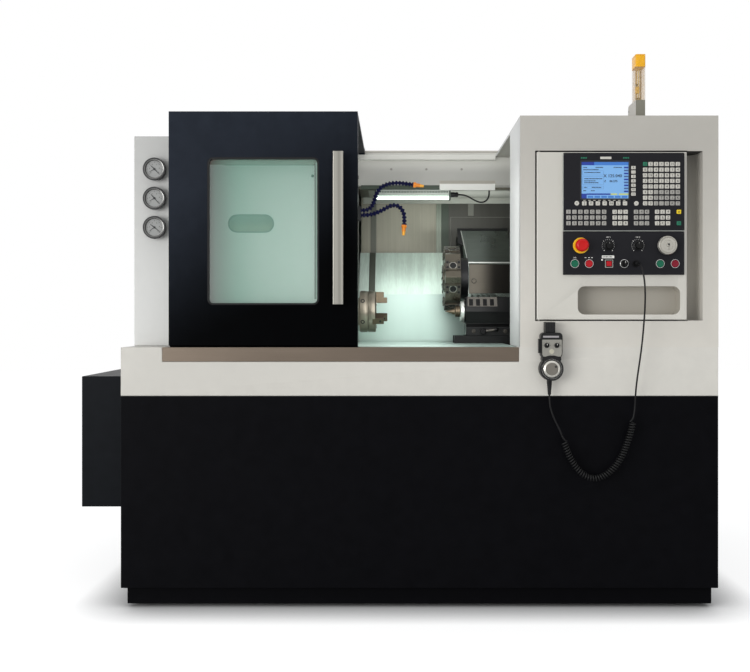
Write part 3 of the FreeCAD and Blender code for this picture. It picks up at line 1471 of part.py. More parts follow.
def make_hoses():
    block = box("manifold", ("cover_edge", "cover_edge + manifold_reach"),
                ("hose_y - manifold_depth / 2", "hose_y + manifold_depth / 2"),
                ("manifold_level", "manifold_level + manifold_height"))
    label("coolant_manifold", block)
    y = number("hose_y")
    x = number("cover_edge + manifold_reach")
    low_z = number("hose_low_level")
    high_z = number("hose_high_level")
    low = [(0, 0), (24, 0), (52, 5), (80, 16), (106, 31), (132, 43), (158, 39), (176, 17), (182, -12),
           (180, -40)]
    high = [(0, 0), (22, 0), (44, 12), (56, 38), (64, 68), (80, 94), (106, 109), (142, 115), (182, 112),
            (218, 107)]
    hoses = []
    nozzles = []
    for name, route, level in (("low", low, low_z), ("high", high, high_z)):
        points = [Vector(x + across, y, level + up) for across, up in route]
        hoses.append(ribbed_hose(f"hose_{name}", points))
        aim = (points[-1] - points[-2]).normalize()
        tip = points[-1] + aim * number("nozzle_length")
        sides = int(number("hose_sides"))
        nozzles.append(lofted(f"nozzle_{name}", [
            flat_ring(points[-1], aim, number("nozzle_radius"), sides),
            flat_ring(points[-1] + aim * number("nozzle_length * 0.3"), aim, number("nozzle_radius"),
                      sides),
            flat_ring(tip, aim, number("nozzle_tip_radius"), sides)]))
    label("coolant_hoses", group("coolant_hoses", hoses))
    label("hose_nozzles", group("hose_nozzles", nozzles))


make_base(make_feet())
make_deck()
make_door()
make_left_cover()
make_rear()
make_cabinet()
make_bed()
make_saddle()
make_turret()
make_headstock()
make_tailstock()
make_panel()
make_controls()
make_pendant()
make_tower()
make_lamp()
make_hoses()
make_cords()
doc.recompute()

failed = [item.Name for item in doc.Objects if "Invalid" in item.State or "Error" in item.State]
if failed:
    raise RuntimeError(f"not computed: {failed}")
for name, part in nodes.items():
    if part.Shape.isNull() or not part.Shape.isValid() or not part.Shape.Solids:
        raise RuntimeError(f"{name} has no valid solid")

os.makedirs("parts", exist_ok=True)
for name, part in nodes.items():
    part.Shape.exportStep(f"parts/{name}.step")
print(f"{len(nodes)} parts written")
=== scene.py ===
import bisect
import json
import math
import random

import bmesh
import bpy
from mathutils import Matrix, Vector


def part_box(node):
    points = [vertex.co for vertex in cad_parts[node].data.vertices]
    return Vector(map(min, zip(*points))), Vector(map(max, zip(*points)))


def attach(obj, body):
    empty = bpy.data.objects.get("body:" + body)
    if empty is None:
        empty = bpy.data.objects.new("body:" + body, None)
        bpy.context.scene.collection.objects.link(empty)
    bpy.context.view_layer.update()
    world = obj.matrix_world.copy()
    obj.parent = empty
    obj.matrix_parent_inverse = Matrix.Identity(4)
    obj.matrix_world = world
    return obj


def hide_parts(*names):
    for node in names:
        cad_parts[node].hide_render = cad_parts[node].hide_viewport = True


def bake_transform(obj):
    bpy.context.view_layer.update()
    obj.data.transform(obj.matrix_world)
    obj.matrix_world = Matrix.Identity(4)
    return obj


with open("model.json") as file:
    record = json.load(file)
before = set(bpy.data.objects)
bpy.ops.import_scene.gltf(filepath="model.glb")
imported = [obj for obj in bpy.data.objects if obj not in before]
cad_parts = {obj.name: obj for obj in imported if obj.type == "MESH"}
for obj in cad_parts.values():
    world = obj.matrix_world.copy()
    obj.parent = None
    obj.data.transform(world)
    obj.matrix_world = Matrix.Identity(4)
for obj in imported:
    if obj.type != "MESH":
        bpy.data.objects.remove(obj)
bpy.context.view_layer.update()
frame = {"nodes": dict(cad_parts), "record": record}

cadNodes = frame["nodes"]
print("frame loaded:", len(cadNodes), "nodes")


def placed(name, data):
    # an object that holds the data, linked to the scene
    thing = bpy.data.objects.new(name, data)
    bpy.context.scene.collection.objects.link(thing)
    return thing


# camera, a long lens square to the front, framed with a small shift
cameraSetup = {
    "place": (-0.084, -4.15, 1.0), "lens": 47.6, "sensor": 36, "reach": 100, "shift": (-0.0267, -0.0253)}


def addCamera(setup):
    data = bpy.data.cameras.new("frontCamera")
    data.lens = setup["lens"]
    data.sensor_width = setup["sensor"]
    data.shift_x, data.shift_y = setup["shift"]
    data.clip_end = setup["reach"]
    camera = placed("frontCamera", data)
    camera.location = setup["place"]
    camera.rotation_euler = (math.radians(90), 0, 0)
    bpy.context.scene.camera = camera


addCamera(cameraSetup)


def shade(red, green, blue):
    # a colour as seen on screen, 0 to 255, as the linear value that a shader takes
    parts = [(c / 255 / 12.92) if c < 11 else ((c / 255 + 0.055) / 1.055) ** 2.4 for c in (red, green, blue)]
    return (*parts, 1.0)


# shader groups shared by the finishes
socketOfSize = {1: "NodeSocketFloat", 3: "NodeSocketVector", 4: "NodeSocketColor"}
skinOutputs = {"Colour": "NodeSocketColor", "Roughness": "NodeSocketFloat", "Normal": "NodeSocketVector"}
grey = (0.5, 0.5, 0.5, 1)
skinLook = {
    "broad": 1.7, "fine": 26.0, "smear": 30.0, "smearTint": 0.3, "smearRough": 0.6, "edgeFrom": 0.52,
    "edgeGain": 12.0, "peelReach": 0.0004, "grooveReach": 0.0003, "ringReach": 0.0002}


def newGroup(name, inputs, outputs):
    # a group with named inputs at their starting values; a value's size gives the kind of socket
    tree = bpy.data.node_groups.new(name, "ShaderNodeTree")
    for label, value in inputs.items():
        size = 1 if isinstance(value, float) else len(value)
        socket = tree.interface.new_socket(label, in_out="INPUT", socket_type=socketOfSize[size])
        socket.default_value = value
    for label in outputs:
        tree.interface.new_socket(label, in_out="OUTPUT", socket_type=skinOutputs[label])
    return tree, tree.nodes.new("NodeGroupInput"), tree.nodes.new("NodeGroupOutput")


def addNode(tree, kind, values=None, **settings):
    node = tree.nodes.new(kind)
    for key, value in settings.items():
        setattr(node, key, value)
    for key, value in (values or {}).items():
        node.inputs[key].default_value = value
    return node


def feed(tree, value, socket):
    # links a socket, or sets a plain value
    if hasattr(value, "links"):
        tree.links.new(value, socket)
    else:
        socket.default_value = value


def calc(tree, operation, first, second):
    node = addNode(tree, "ShaderNodeMath", operation=operation)
    feed(tree, first, node.inputs[0])
    feed(tree, second, node.inputs[1])
    return node.outputs[0]


def vectorCalc(tree, operation, first, second=None):
    # vector maths; a length or a dot product comes out as a value
    node = addNode(tree, "ShaderNodeVectorMath", operation=operation)
    tree.links.new(first, node.inputs[0])
    if second is not None:
        tree.links.new(second, node.inputs[1])
    return node.outputs["Value" if operation in ("LENGTH", "DOT_PRODUCT") else "Vector"]


def noiseOn(tree, vector, scale, detail):
    node = addNode(tree, "ShaderNodeTexNoise", {"Detail": detail})
    tree.links.new(vector, node.inputs["Vector"])
    feed(tree, scale, node.inputs["Scale"])
    return node.outputs["Fac"]


def tinted(tree, colour, factor):
    # colour times a grey factor
    scale = addNode(tree, "ShaderNodeVectorMath", operation="SCALE")
    tree.links.new(colour, scale.inputs[0])
    tree.links.new(factor, scale.inputs["Scale"])
    return scale.outputs[0]


def swing(tree, noise, spread):
    # noise about 0.5 as a factor about 1
    return calc(tree, "ADD", calc(tree, "MULTIPLY", calc(tree, "SUBTRACT", noise, 0.5), spread), 1.0)


def closeSkin(tree, given, result, factor, pattern, depth, reach, rough):
    # each skin ends alike: a tinted colour, a roughness, and a bump from one pattern
    bump = addNode(tree, "ShaderNodeBump", {"Distance": reach})
    tree.links.new(pattern, bump.inputs["Height"])
    tree.links.new(given.outputs[depth], bump.inputs["Strength"])
    tree.links.new(tinted(tree, given.outputs["Colour"], factor), result.inputs["Colour"])
    tree.links.new(calc(tree, "MULTIPLY", given.outputs["Roughness"], rough), result.inputs["Roughness"])
    tree.links.new(bump.outputs[0], result.inputs["Normal"])
    return tree


def buildPaintSkin(look):
    tree, given, result = newGroup("paintSkin", {
        "Colour": grey, "Shade Spread": 0.1, "Roughness": 0.4, "Rough Spread": 0.3, "Peel Size": 500.0,
        "Peel Depth": 0.1, "Edge Wear": 0.3}, skinOutputs)
    at = tree.nodes.new("ShaderNodeTexCoord").outputs["Object"]
    broad = noiseOn(tree, at, look["broad"], 3)
    fine = noiseOn(tree, at, look["fine"], 4)
    peel = noiseOn(tree, at, given.outputs["Peel Size"], 2)
    pointed = tree.nodes.new("ShaderNodeNewGeometry").outputs["Pointiness"]
    edge = calc(tree, "MULTIPLY", calc(tree, "SUBTRACT", pointed, look["edgeFrom"]), look["edgeGain"])
    edge = calc(tree, "MINIMUM", calc(tree, "MAXIMUM", edge, 0.0), 1.0)
    worn = calc(tree, "MULTIPLY", calc(tree, "MULTIPLY", edge, fine), given.outputs["Edge Wear"])
    factor = calc(tree, "ADD", swing(tree, broad, given.outputs["Shade Spread"]), worn)
    rough = swing(tree, fine, given.outputs["Rough Spread"])
    return closeSkin(tree, given, result, factor, peel, "Peel Depth", look["peelReach"], rough)


def buildBrushedSkin(look):
    # streaks: the stretch squeezes the pattern along the brushing
    tree, given, result = newGroup("brushedSkin", {"Colour": grey, "Stretch": (400.0, 400.0, 4.0),
                                                   "Streak Spread": 0.3, "Broad Spread": 0.2,
                                                   "Broad Stretch": (6.0, 6.0, 0.6), "Roughness": 0.35,
                                                   "Rough Spread": 0.3, "Groove Depth": 0.1}, skinOutputs)
    at = tree.nodes.new("ShaderNodeTexCoord").outputs["Object"]
    streak = noiseOn(tree, vectorCalc(tree, "MULTIPLY", at, given.outputs["Stretch"]), 1.0, 4)
    broad = noiseOn(tree, vectorCalc(tree, "MULTIPLY", at, given.outputs["Broad Stretch"]), 1.0, 3)
    factor = calc(tree, "MULTIPLY", swing(tree, streak, given.outputs["Streak Spread"]),
                  swing(tree, broad, given.outputs["Broad Spread"]))
    rough = swing(tree, broad, given.outputs["Rough Spread"])
    return closeSkin(tree, given, result, factor, streak, "Groove Depth", look["grooveReach"], rough)


def buildTurnedSkin(look):
    # fine rings about a line along X or Y through the given centre, as a lathe tool leaves them
    tree, given, result = newGroup("turnedSkin", {"Colour": grey, "Centre": (0.0, 0.0, 0.0),
                                                  "Across": (0.0, 1.0, 1.0), "Rings": 500.0,
                                                  "Ring Spread": 0.25, "Roughness": 0.3,
                                                  "Groove Depth": 0.15}, skinOutputs)
    at = tree.nodes.new("ShaderNodeTexCoord").outputs["Object"]
    offset = vectorCalc(tree, "SUBTRACT", at, given.outputs["Centre"])
    flat = vectorCalc(tree, "MULTIPLY", offset, given.outputs["Across"])
    spot = tree.nodes.new("ShaderNodeCombineXYZ")
    tree.links.new(vectorCalc(tree, "LENGTH", flat), spot.inputs[0])
    tree.links.new(vectorCalc(tree, "LENGTH", vectorCalc(tree, "SUBTRACT", offset, flat)), spot.inputs[1])
    rings = noiseOn(tree, spot.outputs[0], given.outputs["Rings"], 2)
    smear = noiseOn(tree, at, look["smear"], 3)
    factor = calc(tree, "MULTIPLY", swing(tree, rings, given.outputs["Ring Spread"]),
                  swing(tree, smear, look["smearTint"]))
    rough = swing(tree, smear, look["smearRough"])
    return closeSkin(tree, given, result, factor, rings, "Groove Depth", look["ringReach"], rough)


def buildPaintedShade():
    # painted shade: a colour that falls to a share of itself between two places along a direction
    tree, given, result = newGroup("paintedShadeAlong", {
        "Colour": grey, "Way": (1.0, 0.0, 0.0), "Start": 0.0, "End": 1.0, "Share": 0.5}, ("Colour",))
    at = tree.nodes.new("ShaderNodeTexCoord").outputs["Object"]
    fall = addNode(tree, "ShaderNodeMapRange", {"To Min": 1.0}, interpolation_type="SMOOTHSTEP")
    tree.links.new(vectorCalc(tree, "DOT_PRODUCT", at, given.outputs["Way"]), fall.inputs["Value"])
    for label, socket in (("Start", "From Min"), ("End", "From Max"), ("Share", "To Max")):
        tree.links.new(given.outputs[label], fall.inputs[socket])
    tree.links.new(tinted(tree, given.outputs["Colour"], fall.outputs["Result"]), result.inputs["Colour"])
    return tree


skinGroups = {
    "paint": buildPaintSkin(skinLook), "brushed": buildBrushedSkin(skinLook),
    "turned": buildTurnedSkin(skinLook)}
paintedShadeGroup = buildPaintedShade()
finishes = {}


def finish(name, skin, looks, constants):
    # a material whose colour, roughness and normal come from one of the skins; a lit one glows in its colour
    material = bpy.data.materials.new(name)
    material.use_nodes = True
    tree = material.node_tree
    shader = tree.nodes["Principled BSDF"]
    group = addNode(tree, "ShaderNodeGroup", looks, node_tree=skinGroups[skin])
    links = [("Colour", "Base Color"), ("Roughness", "Roughness"), ("Normal", "Normal")]
    if "Emission Strength" in constants:
        links.append(("Colour", "Emission Color"))
    for output, socket in links:
        tree.links.new(group.outputs[output], shader.inputs[socket])
    for key, value in constants.items():
        shader.inputs[key].default_value = value
    finishes[name] = material


def paintShadeInto(name, start, end, share, way=(1.0, 0.0, 0.0)):
    # puts the painted shade between the skin's colour and the shader
    tree = finishes[name].node_tree
    shader = tree.nodes["Principled BSDF"]
    fade = addNode(tree, "ShaderNodeGroup", {"Start": start, "End": end, "Share": share, "Way": way},
                   node_tree=paintedShadeGroup)
    tree.links.new(shader.inputs["Base Color"].links[0].from_socket, fade.inputs["Colour"])
    tree.links.new(fade.outputs["Colour"], shader.inputs["Base Color"])


def middleOf(node):
    low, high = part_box(node)
    return (low + high) / 2


spindleLine = (middleOf("spindle").y, middleOf("spindle").z)
spindleCentre = (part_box("chuck_body")[0].x, *spindleLine)

whiteSheet = (0.05, 0.42, 0.25, 350.0, 0.12, 0.12, {})
lens = (0.15, 0.22, 0.3, 500.0, 0.03, 0.1, {"Specular IOR Level": 0.3})
screenLit = (0.1, 0.3, 0.2, 900.0, 0.02, 0.0, {"Emission Strength": 0.28})
paintRows = {
    # name: colour, shade spread, roughness and its spread, peel size, peel depth, edge wear, shader values
    "whitePaint": ((209, 205, 196), *whiteSheet),
    # the beam's lip: a lighter copy of the white paint as painted light
    "lipPaint": ((238, 238, 232), *whiteSheet),
    "facePaint": ((209, 206, 197), *whiteSheet),
    "coverPaint": ((210, 210, 207), *whiteSheet),
    "bandPaint": ((209, 206, 198), *whiteSheet),
    "beamPaint": ((214, 213, 206), *whiteSheet),
    # the cabinet's left-facing side: a greyer, darker copy of the white paint as painted shade
    "returnPaint": ((184, 185, 184), *whiteSheet),
    "blackPaint": ((7, 7, 9), 0.3, 0.42, 0.35, 420.0, 0.16, 1.6, {"Specular IOR Level": 0.03}),
    "doorPaint": ((32, 36, 43), 0.5, 0.36, 0.35, 420.0, 0.12, 1.2, {"Specular IOR Level": 0.02}),
    "boxPaint": ((15, 17, 20), 0.4, 0.4, 0.35, 420.0, 0.12, 1.2, {"Specular IOR Level": 0.05}),
    # the box's tray and the beam's groove: a grey for painted shade in the recess
    "trayPaint": ((172, 167, 156), 0.12, 0.5, 0.3, 300.0, 0.15, 0.1, {}),
    "castIron": ((15, 16, 16), 0.5, 0.42, 0.7, 240.0, 0.35, 0.8, {"Metallic": 0.6}),
    "panelBlack": ((26, 26, 30), 0.25, 0.5, 0.3, 800.0, 0.1, 0.4, {"Specular IOR Level": 0.15}),
    "blackRubber": ((14, 14, 15), 0.2, 0.48, 0.3, 900.0, 0.1, 0.1, {"Specular IOR Level": 0.25}),
    "knobBlack": ((7, 7, 8), 0.2, 0.34, 0.3, 700.0, 0.1, 0.3, {"Specular IOR Level": 0.2}),
    "pendantBlack": ((14, 14, 15), 0.3, 0.46, 0.3, 650.0, 0.25, 0.8, {"Specular IOR Level": 0.3}),
    "boltBlack": ((22, 23, 24), 0.4, 0.4, 0.3, 500.0, 0.1, 1.0, {"Metallic": 0.5}),
    "clampIron": ((58, 55, 50), 0.7, 0.4, 0.3, 300.0, 0.3, 1.6, {"Metallic": 0.6}),
    "pendantBoss": ((186, 182, 164), 0.1, 0.4, 0.3, 500.0, 0.1, 0.2, {}),
    "stripSilver": ((160, 156, 158), 0.3, 0.4, 0.3, 500.0, 0.1, 0.2, {"Metallic": 0.3}),
    "linerPlate": ((112, 114, 106), 0.3, 0.45, 0.3, 300.0, 0.1, 0.2, {"Metallic": 0.4}),
    "linerMoss": ((58, 68, 58), 0.3, 0.4, 0.3, 300.0, 0.1, 0.2, {"Metallic": 0.4}),
    "linerPale": ((176, 180, 170), 0.15, 0.5, 0.3, 300.0, 0.1, 0.2, {}),
    "finGrey": ((84, 80, 74), 0.4, 0.5, 0.3, 300.0, 0.1, 0.6, {}),
    "slotPaint": ((106, 86, 72), 0.1, 0.5, 0.3, 400.0, 0.1, 0.1, {}),
    "seamShade": ((46, 46, 44), 0.2, 0.7, 0.3, 300.0, 0.1, 0.0, {}),
    "inkBlack": ((20, 21, 24), 0.2, 0.5, 0.3, 900.0, 0.05, 0.0, {}),
    "gaugeCase": ((16, 17, 18), 0.3, 0.34, 0.3, 400.0, 0.1, 0.8, {}),
    "edgePale": ((116, 136, 126), 0.3, 0.5, 0.3, 300.0, 0.1, 0.2, {}),
    "coverBand": ((128, 108, 102), 0.1, 0.5, 0.3, 300.0, 0.1, 0.1, {}),
    "gaugeRim": ((120, 120, 118), 0.1, 0.24, 0.3, 300.0, 0.03, 0.2, {"Metallic": 0.8}),
    "gaugeDial": ((146, 147, 145), 0.2, 0.3, 0.3, 500.0, 0.02, 0.0, {"Coat Weight": 0.5}),
    "legendWhite": ((226, 225, 219), 0.06, 0.5, 0.3, 900.0, 0.05, 0.0, {}),
    "keyPale": ((196, 193, 184), 0.12, 0.5, 0.3, 900.0, 0.08, 0.1, {}),
    "keyGrey": ((158, 156, 150), 0.12, 0.5, 0.3, 900.0, 0.08, 0.1, {}),
    "keyYellow": ((238, 206, 24), 0.08, 0.45, 0.3, 900.0, 0.08, 0.1, {}),
    "keyGreen": ((0, 104, 76), 0.08, 0.45, 0.3, 900.0, 0.08, 0.1, {}),
    "stopYellow": ((240, 186, 24), 0.08, 0.4, 0.3, 700.0, 0.08, 0.1, {}),
    "stopRed": ((196, 12, 12), 0.08, 0.3, 0.3, 600.0, 0.05, 0.1, {"Specular IOR Level": 0.3}),
    "lensRed": ((176, 6, 22), *lens),
    "lensCrimson": ((128, 4, 34), *lens),
    "lensGreen": ((0, 100, 72), *lens),
    "hoseBlue": ((6, 10, 54), 0.2, 0.45, 0.3, 400.0, 0.08, 0.2, {"Specular IOR Level": 0.12}),
    "nozzleOrange": ((240, 140, 26), 0.12, 0.36, 0.3, 500.0, 0.08, 0.1, {}),
    "nozzleAmber": ((250, 176, 48), 0.12, 0.36, 0.3, 500.0, 0.08, 0.1, {}),
    "lampCap": ((70, 80, 72), 0.3, 0.5, 0.3, 400.0, 0.1, 0.1, {"Metallic": 0.3}),
    "rodGrey": ((140, 126, 118), 0.2, 0.5, 0.3, 400.0, 0.1, 0.1, {}),
    # the tower foot's front and other faces: a darker paint as painted shade
    "towerPaint": ((119, 117, 105), 0.1, 0.42, 0.3, 400.0, 0.1, 0.3, {}),
    # panes and lenses that light passes, the lit tube and the lit screen
    "paneGlass": ((168, 224, 202), 0.06, 0.06, 0.4, 9.0, 0.02, 0.0, {"Alpha": 0.2}),
    "lensClear": ((206, 176, 128), 0.06, 0.1, 0.4, 9.0, 0.02, 0.0, {"Alpha": 0.26}),
    "lensAmber": ((252, 186, 16), 0.06, 0.2, 0.4, 9.0, 0.02, 0.0, {"Alpha": 0.86}),
    "lampGlow": ((236, 255, 246), 0.1, 0.3, 0.2, 900.0, 0.02, 0.0, {"Emission Strength": 2.0}),
    "screenField": ((112, 160, 208), *screenLit),
    "screenBar": ((52, 108, 182), *screenLit),
    "screenNavy": ((16, 48, 136), *screenLit),
    "screenYellow": ((176, 184, 104), *screenLit),
    "screenSlate": ((56, 84, 132), *screenLit),
    "screenInk": ((8, 16, 40), *screenLit),
}
for name, (colour, spread, rough, roughSpread, size, depth, wear, constants) in paintRows.items():
    finish(name, "paint", {
        "Colour": shade(*colour), "Shade Spread": spread, "Roughness": rough, "Rough Spread": roughSpread,
        "Peel Size": size, "Peel Depth": depth, "Edge Wear": wear}, constants)

brushedRows = {
    # name: colour, stretch, streak spread, broad stretch and spread, roughness and spread, groove, metallic
    "sillSteel": ((115, 104, 93), (3, 900, 900), 0.35, (3, 12, 12), 0.25, 0.38, 0.3, 0.12, 1.0),
    "handleSteel": ((158, 156, 148), (700, 700, 5), 0.25, (110, 60, 0.5), 1.0, 0.3, 0.3, 0.08, 1.0),
    # the next three are lit and shaded copies of one liner steel: painted light and shade
    "linerBright": ((214, 238, 228), (30, 30, 2), 0.08, (4, 4, 1), 0.12, 0.35, 0.3, 0.05, 0.25),
    "linerMiddle": ((226, 242, 232), (300, 40, 2), 0.35, (40, 3, 0.6), 0.5, 0.36, 0.4, 0.1, 0.5),
    "linerUpper": ((126, 125, 112), (320, 40, 2), 0.4, (36, 3, 0.6), 0.55, 0.4, 0.4, 0.12, 0.6),
    "linerSheen": ((112, 120, 108), (300, 40, 2), 0.5, (90, 3, 0.6), 0.9, 0.34, 0.3, 0.1, 0.5),
    "linerDark": ((92, 94, 86), (200, 40, 2), 0.3, (20, 3, 0.6), 0.3, 0.42, 0.3, 0.1, 0.6),
    "linerShade": ((72, 72, 67), (60, 40, 3), 0.25, (8, 3, 2), 0.6, 0.4, 0.3, 0.1, 0.6),
    "slideSteel": ((100, 108, 102), (12, 90, 90), 0.25, (5, 7, 7), 0.7, 0.3, 0.5, 0.08, 0.9),
    "coverSteel": ((84, 80, 72), (3, 300, 300), 0.2, (9, 4, 4), 0.6, 0.34, 0.3, 0.08, 0.85),
    "edgeSteel": ((172, 176, 170), (9, 300, 300), 0.2, (9, 9, 9), 0.3, 0.3, 0.3, 0.05, 0.7),
    "boltSteel": ((150, 148, 142), (200, 200, 200), 0.3, (60, 60, 60), 0.3, 0.32, 0.3, 0.1, 1.0),
    "chromeRim": ((222, 222, 220), (90, 90, 90), 0.1, (60, 60, 60), 0.1, 0.16, 0.3, 0.03, 1.0),
    "lampSteel": ((176, 184, 176), (4, 500, 500), 0.2, (20, 20, 20), 0.3, 0.35, 0.3, 0.1, 0.8),
    "pendantSilver": ((150, 148, 140), (300, 300, 20), 0.15, (30, 30, 30), 0.3, 0.4, 0.3, 0.05, 0.4),
    "giltRod": ((186, 150, 84), (200, 200, 9), 0.2, (25, 25, 25), 0.3, 0.4, 0.3, 0.1, 0.3),
    "giltBright": ((244, 226, 160), (200, 200, 9), 0.15, (25, 25, 25), 0.2, 0.4, 0.3, 0.1, 0.1),
}
for name, row in brushedRows.items():
    colour, stretch, streak, broad, broadSpread, rough, roughSpread, groove, metal = row
    finish(name, "brushed", {
        "Colour": shade(*colour), "Stretch": stretch, "Streak Spread": streak, "Broad Stretch": broad,
        "Broad Spread": broadSpread, "Roughness": rough, "Rough Spread": roughSpread, "Groove Depth": groove},
        {"Metallic": metal})

alongX, alongY = (0.0, 1.0, 1.0), (1.0, 0.0, 1.0)
dialCentre = (0.446, -0.798, 0.824)
turnedRows = {
    # name: colour, centre, across which way, rings, ring spread, roughness, groove depth, metallic
    "machinedSteel": ((132, 126, 113), spindleCentre, alongX, 600.0, 0.35, 0.32, 0.2, 0.95),
    "jawSteel": ((98, 88, 73), spindleCentre, alongX, 900.0, 0.2, 0.34, 0.15, 0.9),
    "discSteel": ((85, 81, 72), (0.1495, -0.0501, 1.1599), alongX, 700.0, 0.4, 0.3, 0.2, 0.95),
    "quillSteel": ((214, 218, 212), spindleCentre, alongX, 900.0, 0.15, 0.3, 0.1, 0.6),
    "wheelAluminium": ((184, 181, 172), (0.8445, -0.758, 1.2445), alongY, 1100.0, 0.4, 0.3, 0.1, 0.9),
    "dialRing": ((198, 196, 188), dialCentre, alongY, 1800.0, 0.12, 0.28, 0.1, 0.7),
    "dialFace": ((120, 116, 108), dialCentre, alongY, 1800.0, 0.2, 0.42, 0.1, 0.5),
}
for name, (colour, centre, across, rings, ringSpread, rough, groove, metal) in turnedRows.items():
    finish(name, "turned", {"Colour": shade(*colour), "Centre": centre, "Across": across, "Rings": rings,
                            "Ring Spread": ringSpread, "Roughness": rough, "Groove Depth": groove},
           {"Metallic": metal})

upward = (0.0, 0.0, 1.0)
# painted light and shade: shadow on the right of the turret cover, on the left of the pane, at the top of the
# white paints, towards the bottom of the beam, towards the left of the deck band, towards the right of the
# floor sheet and at the top of the slot; on the door a painted reflection at the upper left that falls off
# into shade towards the lower right
paintedShadeRows = (
    # painted shade: name, where the fade starts and ends, the share left at its end, its direction
    ("coverSteel", 0.255, 0.330, 0.14), ("paneGlass", -0.610, -0.735, 0.30),
    ("doorPaint", -1.720, -1.150, 0.03, (0.5, 0.0, -0.87)), ("whitePaint", 0.90, 1.70, 0.70, upward),
    ("facePaint", 0.95, 1.60, 0.88, upward), ("coverPaint", 0.90, 1.70, 0.68, upward),
    ("bandPaint", 0.45, -1.00, 0.80), ("beamPaint", 1.665, 1.610, 0.68, upward),
    ("linerBright", 0.070, 0.200, 0.50), ("slotPaint", 1.312, 1.352, 0.35, upward))
for row in paintedShadeRows:
    paintShadeInto(*row)
print("finishes made:", len(finishes))


def setSlots(thing, *names):
    # fills the slots in order and keeps each face's own slot number
    slots = thing.data.materials
    for place, name in enumerate(names):
        if place < len(slots):
            slots[place] = finishes[name]
        else:
            slots.append(finishes[name])


def meshOf(name, bm, outwards=False):
    # the bmesh data as a mesh, with its faces turned outwards where asked
    if outwards:
        bmesh.ops.recalc_face_normals(bm, faces=bm.faces)
    mesh = bpy.data.meshes.new(name)
    bm.to_mesh(mesh)
    bm.free()
    return mesh


def dressMesh(name, mesh, body, names, bevel=0.0, steps=2, angle=30, stands=()):
    # a piece from its mesh, with its finishes, its soft edges, its body and the nodes it stands for
    thing = placed(name, mesh)
    setSlots(thing, *names)
    mesh.shade_smooth()
    mesh.set_sharp_from_angle(angle=math.radians(angle))
    if bevel:
        soft = thing.modifiers.new("softEdges", "BEVEL")
        soft.width = bevel
        soft.segments = steps
        soft.limit_method = "WEIGHT" if "bevel_weight_edge" in mesh.attributes else "ANGLE"
        soft.angle_limit = math.radians(angle)
        soft.harden_normals = True
    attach(thing, body)
    if stands:
        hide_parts(*stands)
    return thing


def addThing(name, bm, body, slot, *names, bevel=0.0, stands=()):
    dressMesh(name, meshOf(name, bm, True), body, names, bevel=bevel, stands=stands)


nodeBody = {
    node: body for body, members in frame["record"]["behaviour"]["bodies"].items() for node in members}
atPlace = 0.001  # a face this close to a place belongs to it
folded = math.radians(30)  # edges at least this sharp are softened


def cleanCopy(node):
    # the node's own shape as whole faces instead of loose triangles
    bm = bmesh.new()
    bm.from_mesh(cadNodes[node].data)
    bmesh.ops.remove_doubles(bm, verts=bm.verts, dist=2e-6)
    bmesh.ops.dissolve_limit(bm, angle_limit=math.radians(0.5), verts=bm.verts, edges=bm.edges)
    return meshOf(node, bm)


recess = {"x": (0.398, 0.700), "z": (0.988, 1.569), "front": -0.748, "sideReach": 0.04}


def pickCabinet(centre, normal):
    # the narrow walls round the swing-out box carry painted shade, dark as the gap's shadow, and the
    # left-facing side face takes a darker copy of the white paint as painted shade
    beside = abs(centre.x - recess["x"][0]) < atPlace
    level = min(abs(centre.z - z) for z in recess["z"]) < atPlace
    if centre.y > recess["front"] and (beside or level) and abs(normal.y) < 0.5:
        return 1
    return 2 if normal.x < -0.9 and centre.x < recess["x"][0] - recess["sideReach"] else 0


flushJoint = {"level": 0.896, "front": -0.745}  # where the cabinet runs into the deck


def softenEdges(mesh):
    # weights of one on the folded edges, and none along the flush joint
    bm = bmesh.new()
    bm.from_mesh(mesh)
    weight = bm.edges.layers.float.new("bevel_weight_edge")
    for edge in bm.edges:
        level, front = flushJoint["level"], flushJoint["front"]
        flush = all(abs(v.co.z - level) < atPlace and v.co.y < front for v in edge.verts)
        sharp = len(edge.link_faces) == 2 and edge.calc_face_angle(0.0) > folded
        edge[weight] = 1.0 if sharp and not flush else 0.0
    bm.to_mesh(mesh)
    bm.free()


def dress(node, name, coats, bevel=0.0015, pick=None):
    # the node's shape with soft edges; its faces take one of the finishes by their place
    mesh = cleanCopy(node)
    if node in ("control_cabinet", "deck_tray"):
        softenEdges(mesh)
    if pick:
        for face in mesh.polygons:
            face.material_index = pick(face.center, face.normal)
    dressMesh(name, mesh, nodeBody[node], coats, bevel=bevel, stands=(node,))


# building blocks for the pieces made here
def addBlock(bm, low, high, slot=0):
    spots = [bm.verts.new((x, y, z)) for x in (low[0], high[0]) for y in (low[1], high[1])
             for z in (low[2], high[2])]
    for quad in ((0, 1, 3, 2), (4, 6, 7, 5), (0, 4, 5, 1), (2, 3, 7, 6), (0, 2, 6, 4), (1, 5, 7, 3)):
        bm.faces.new([spots[i] for i in quad]).material_index = slot


def addBar(bm, x, y, z, slot=0):
    # a block given by its spans
    addBlock(bm, (x[0], y[0], z[0]), (x[1], y[1], z[1]), slot)


def circle(steps):
    # sine and cosine round a full turn
    return [(math.cos(2 * math.pi * k / steps), math.sin(2 * math.pi * k / steps)) for k in range(steps)]


def bridge(bm, rows, slot=0):
    # faces from row to row; each row is closed on itself
    for a, b in zip(rows, rows[1:]):
        for k in range(len(a)):
            after = (k + 1) % len(a)
            bm.faces.new((a[k], a[after], b[after], b[k])).material_index = slot


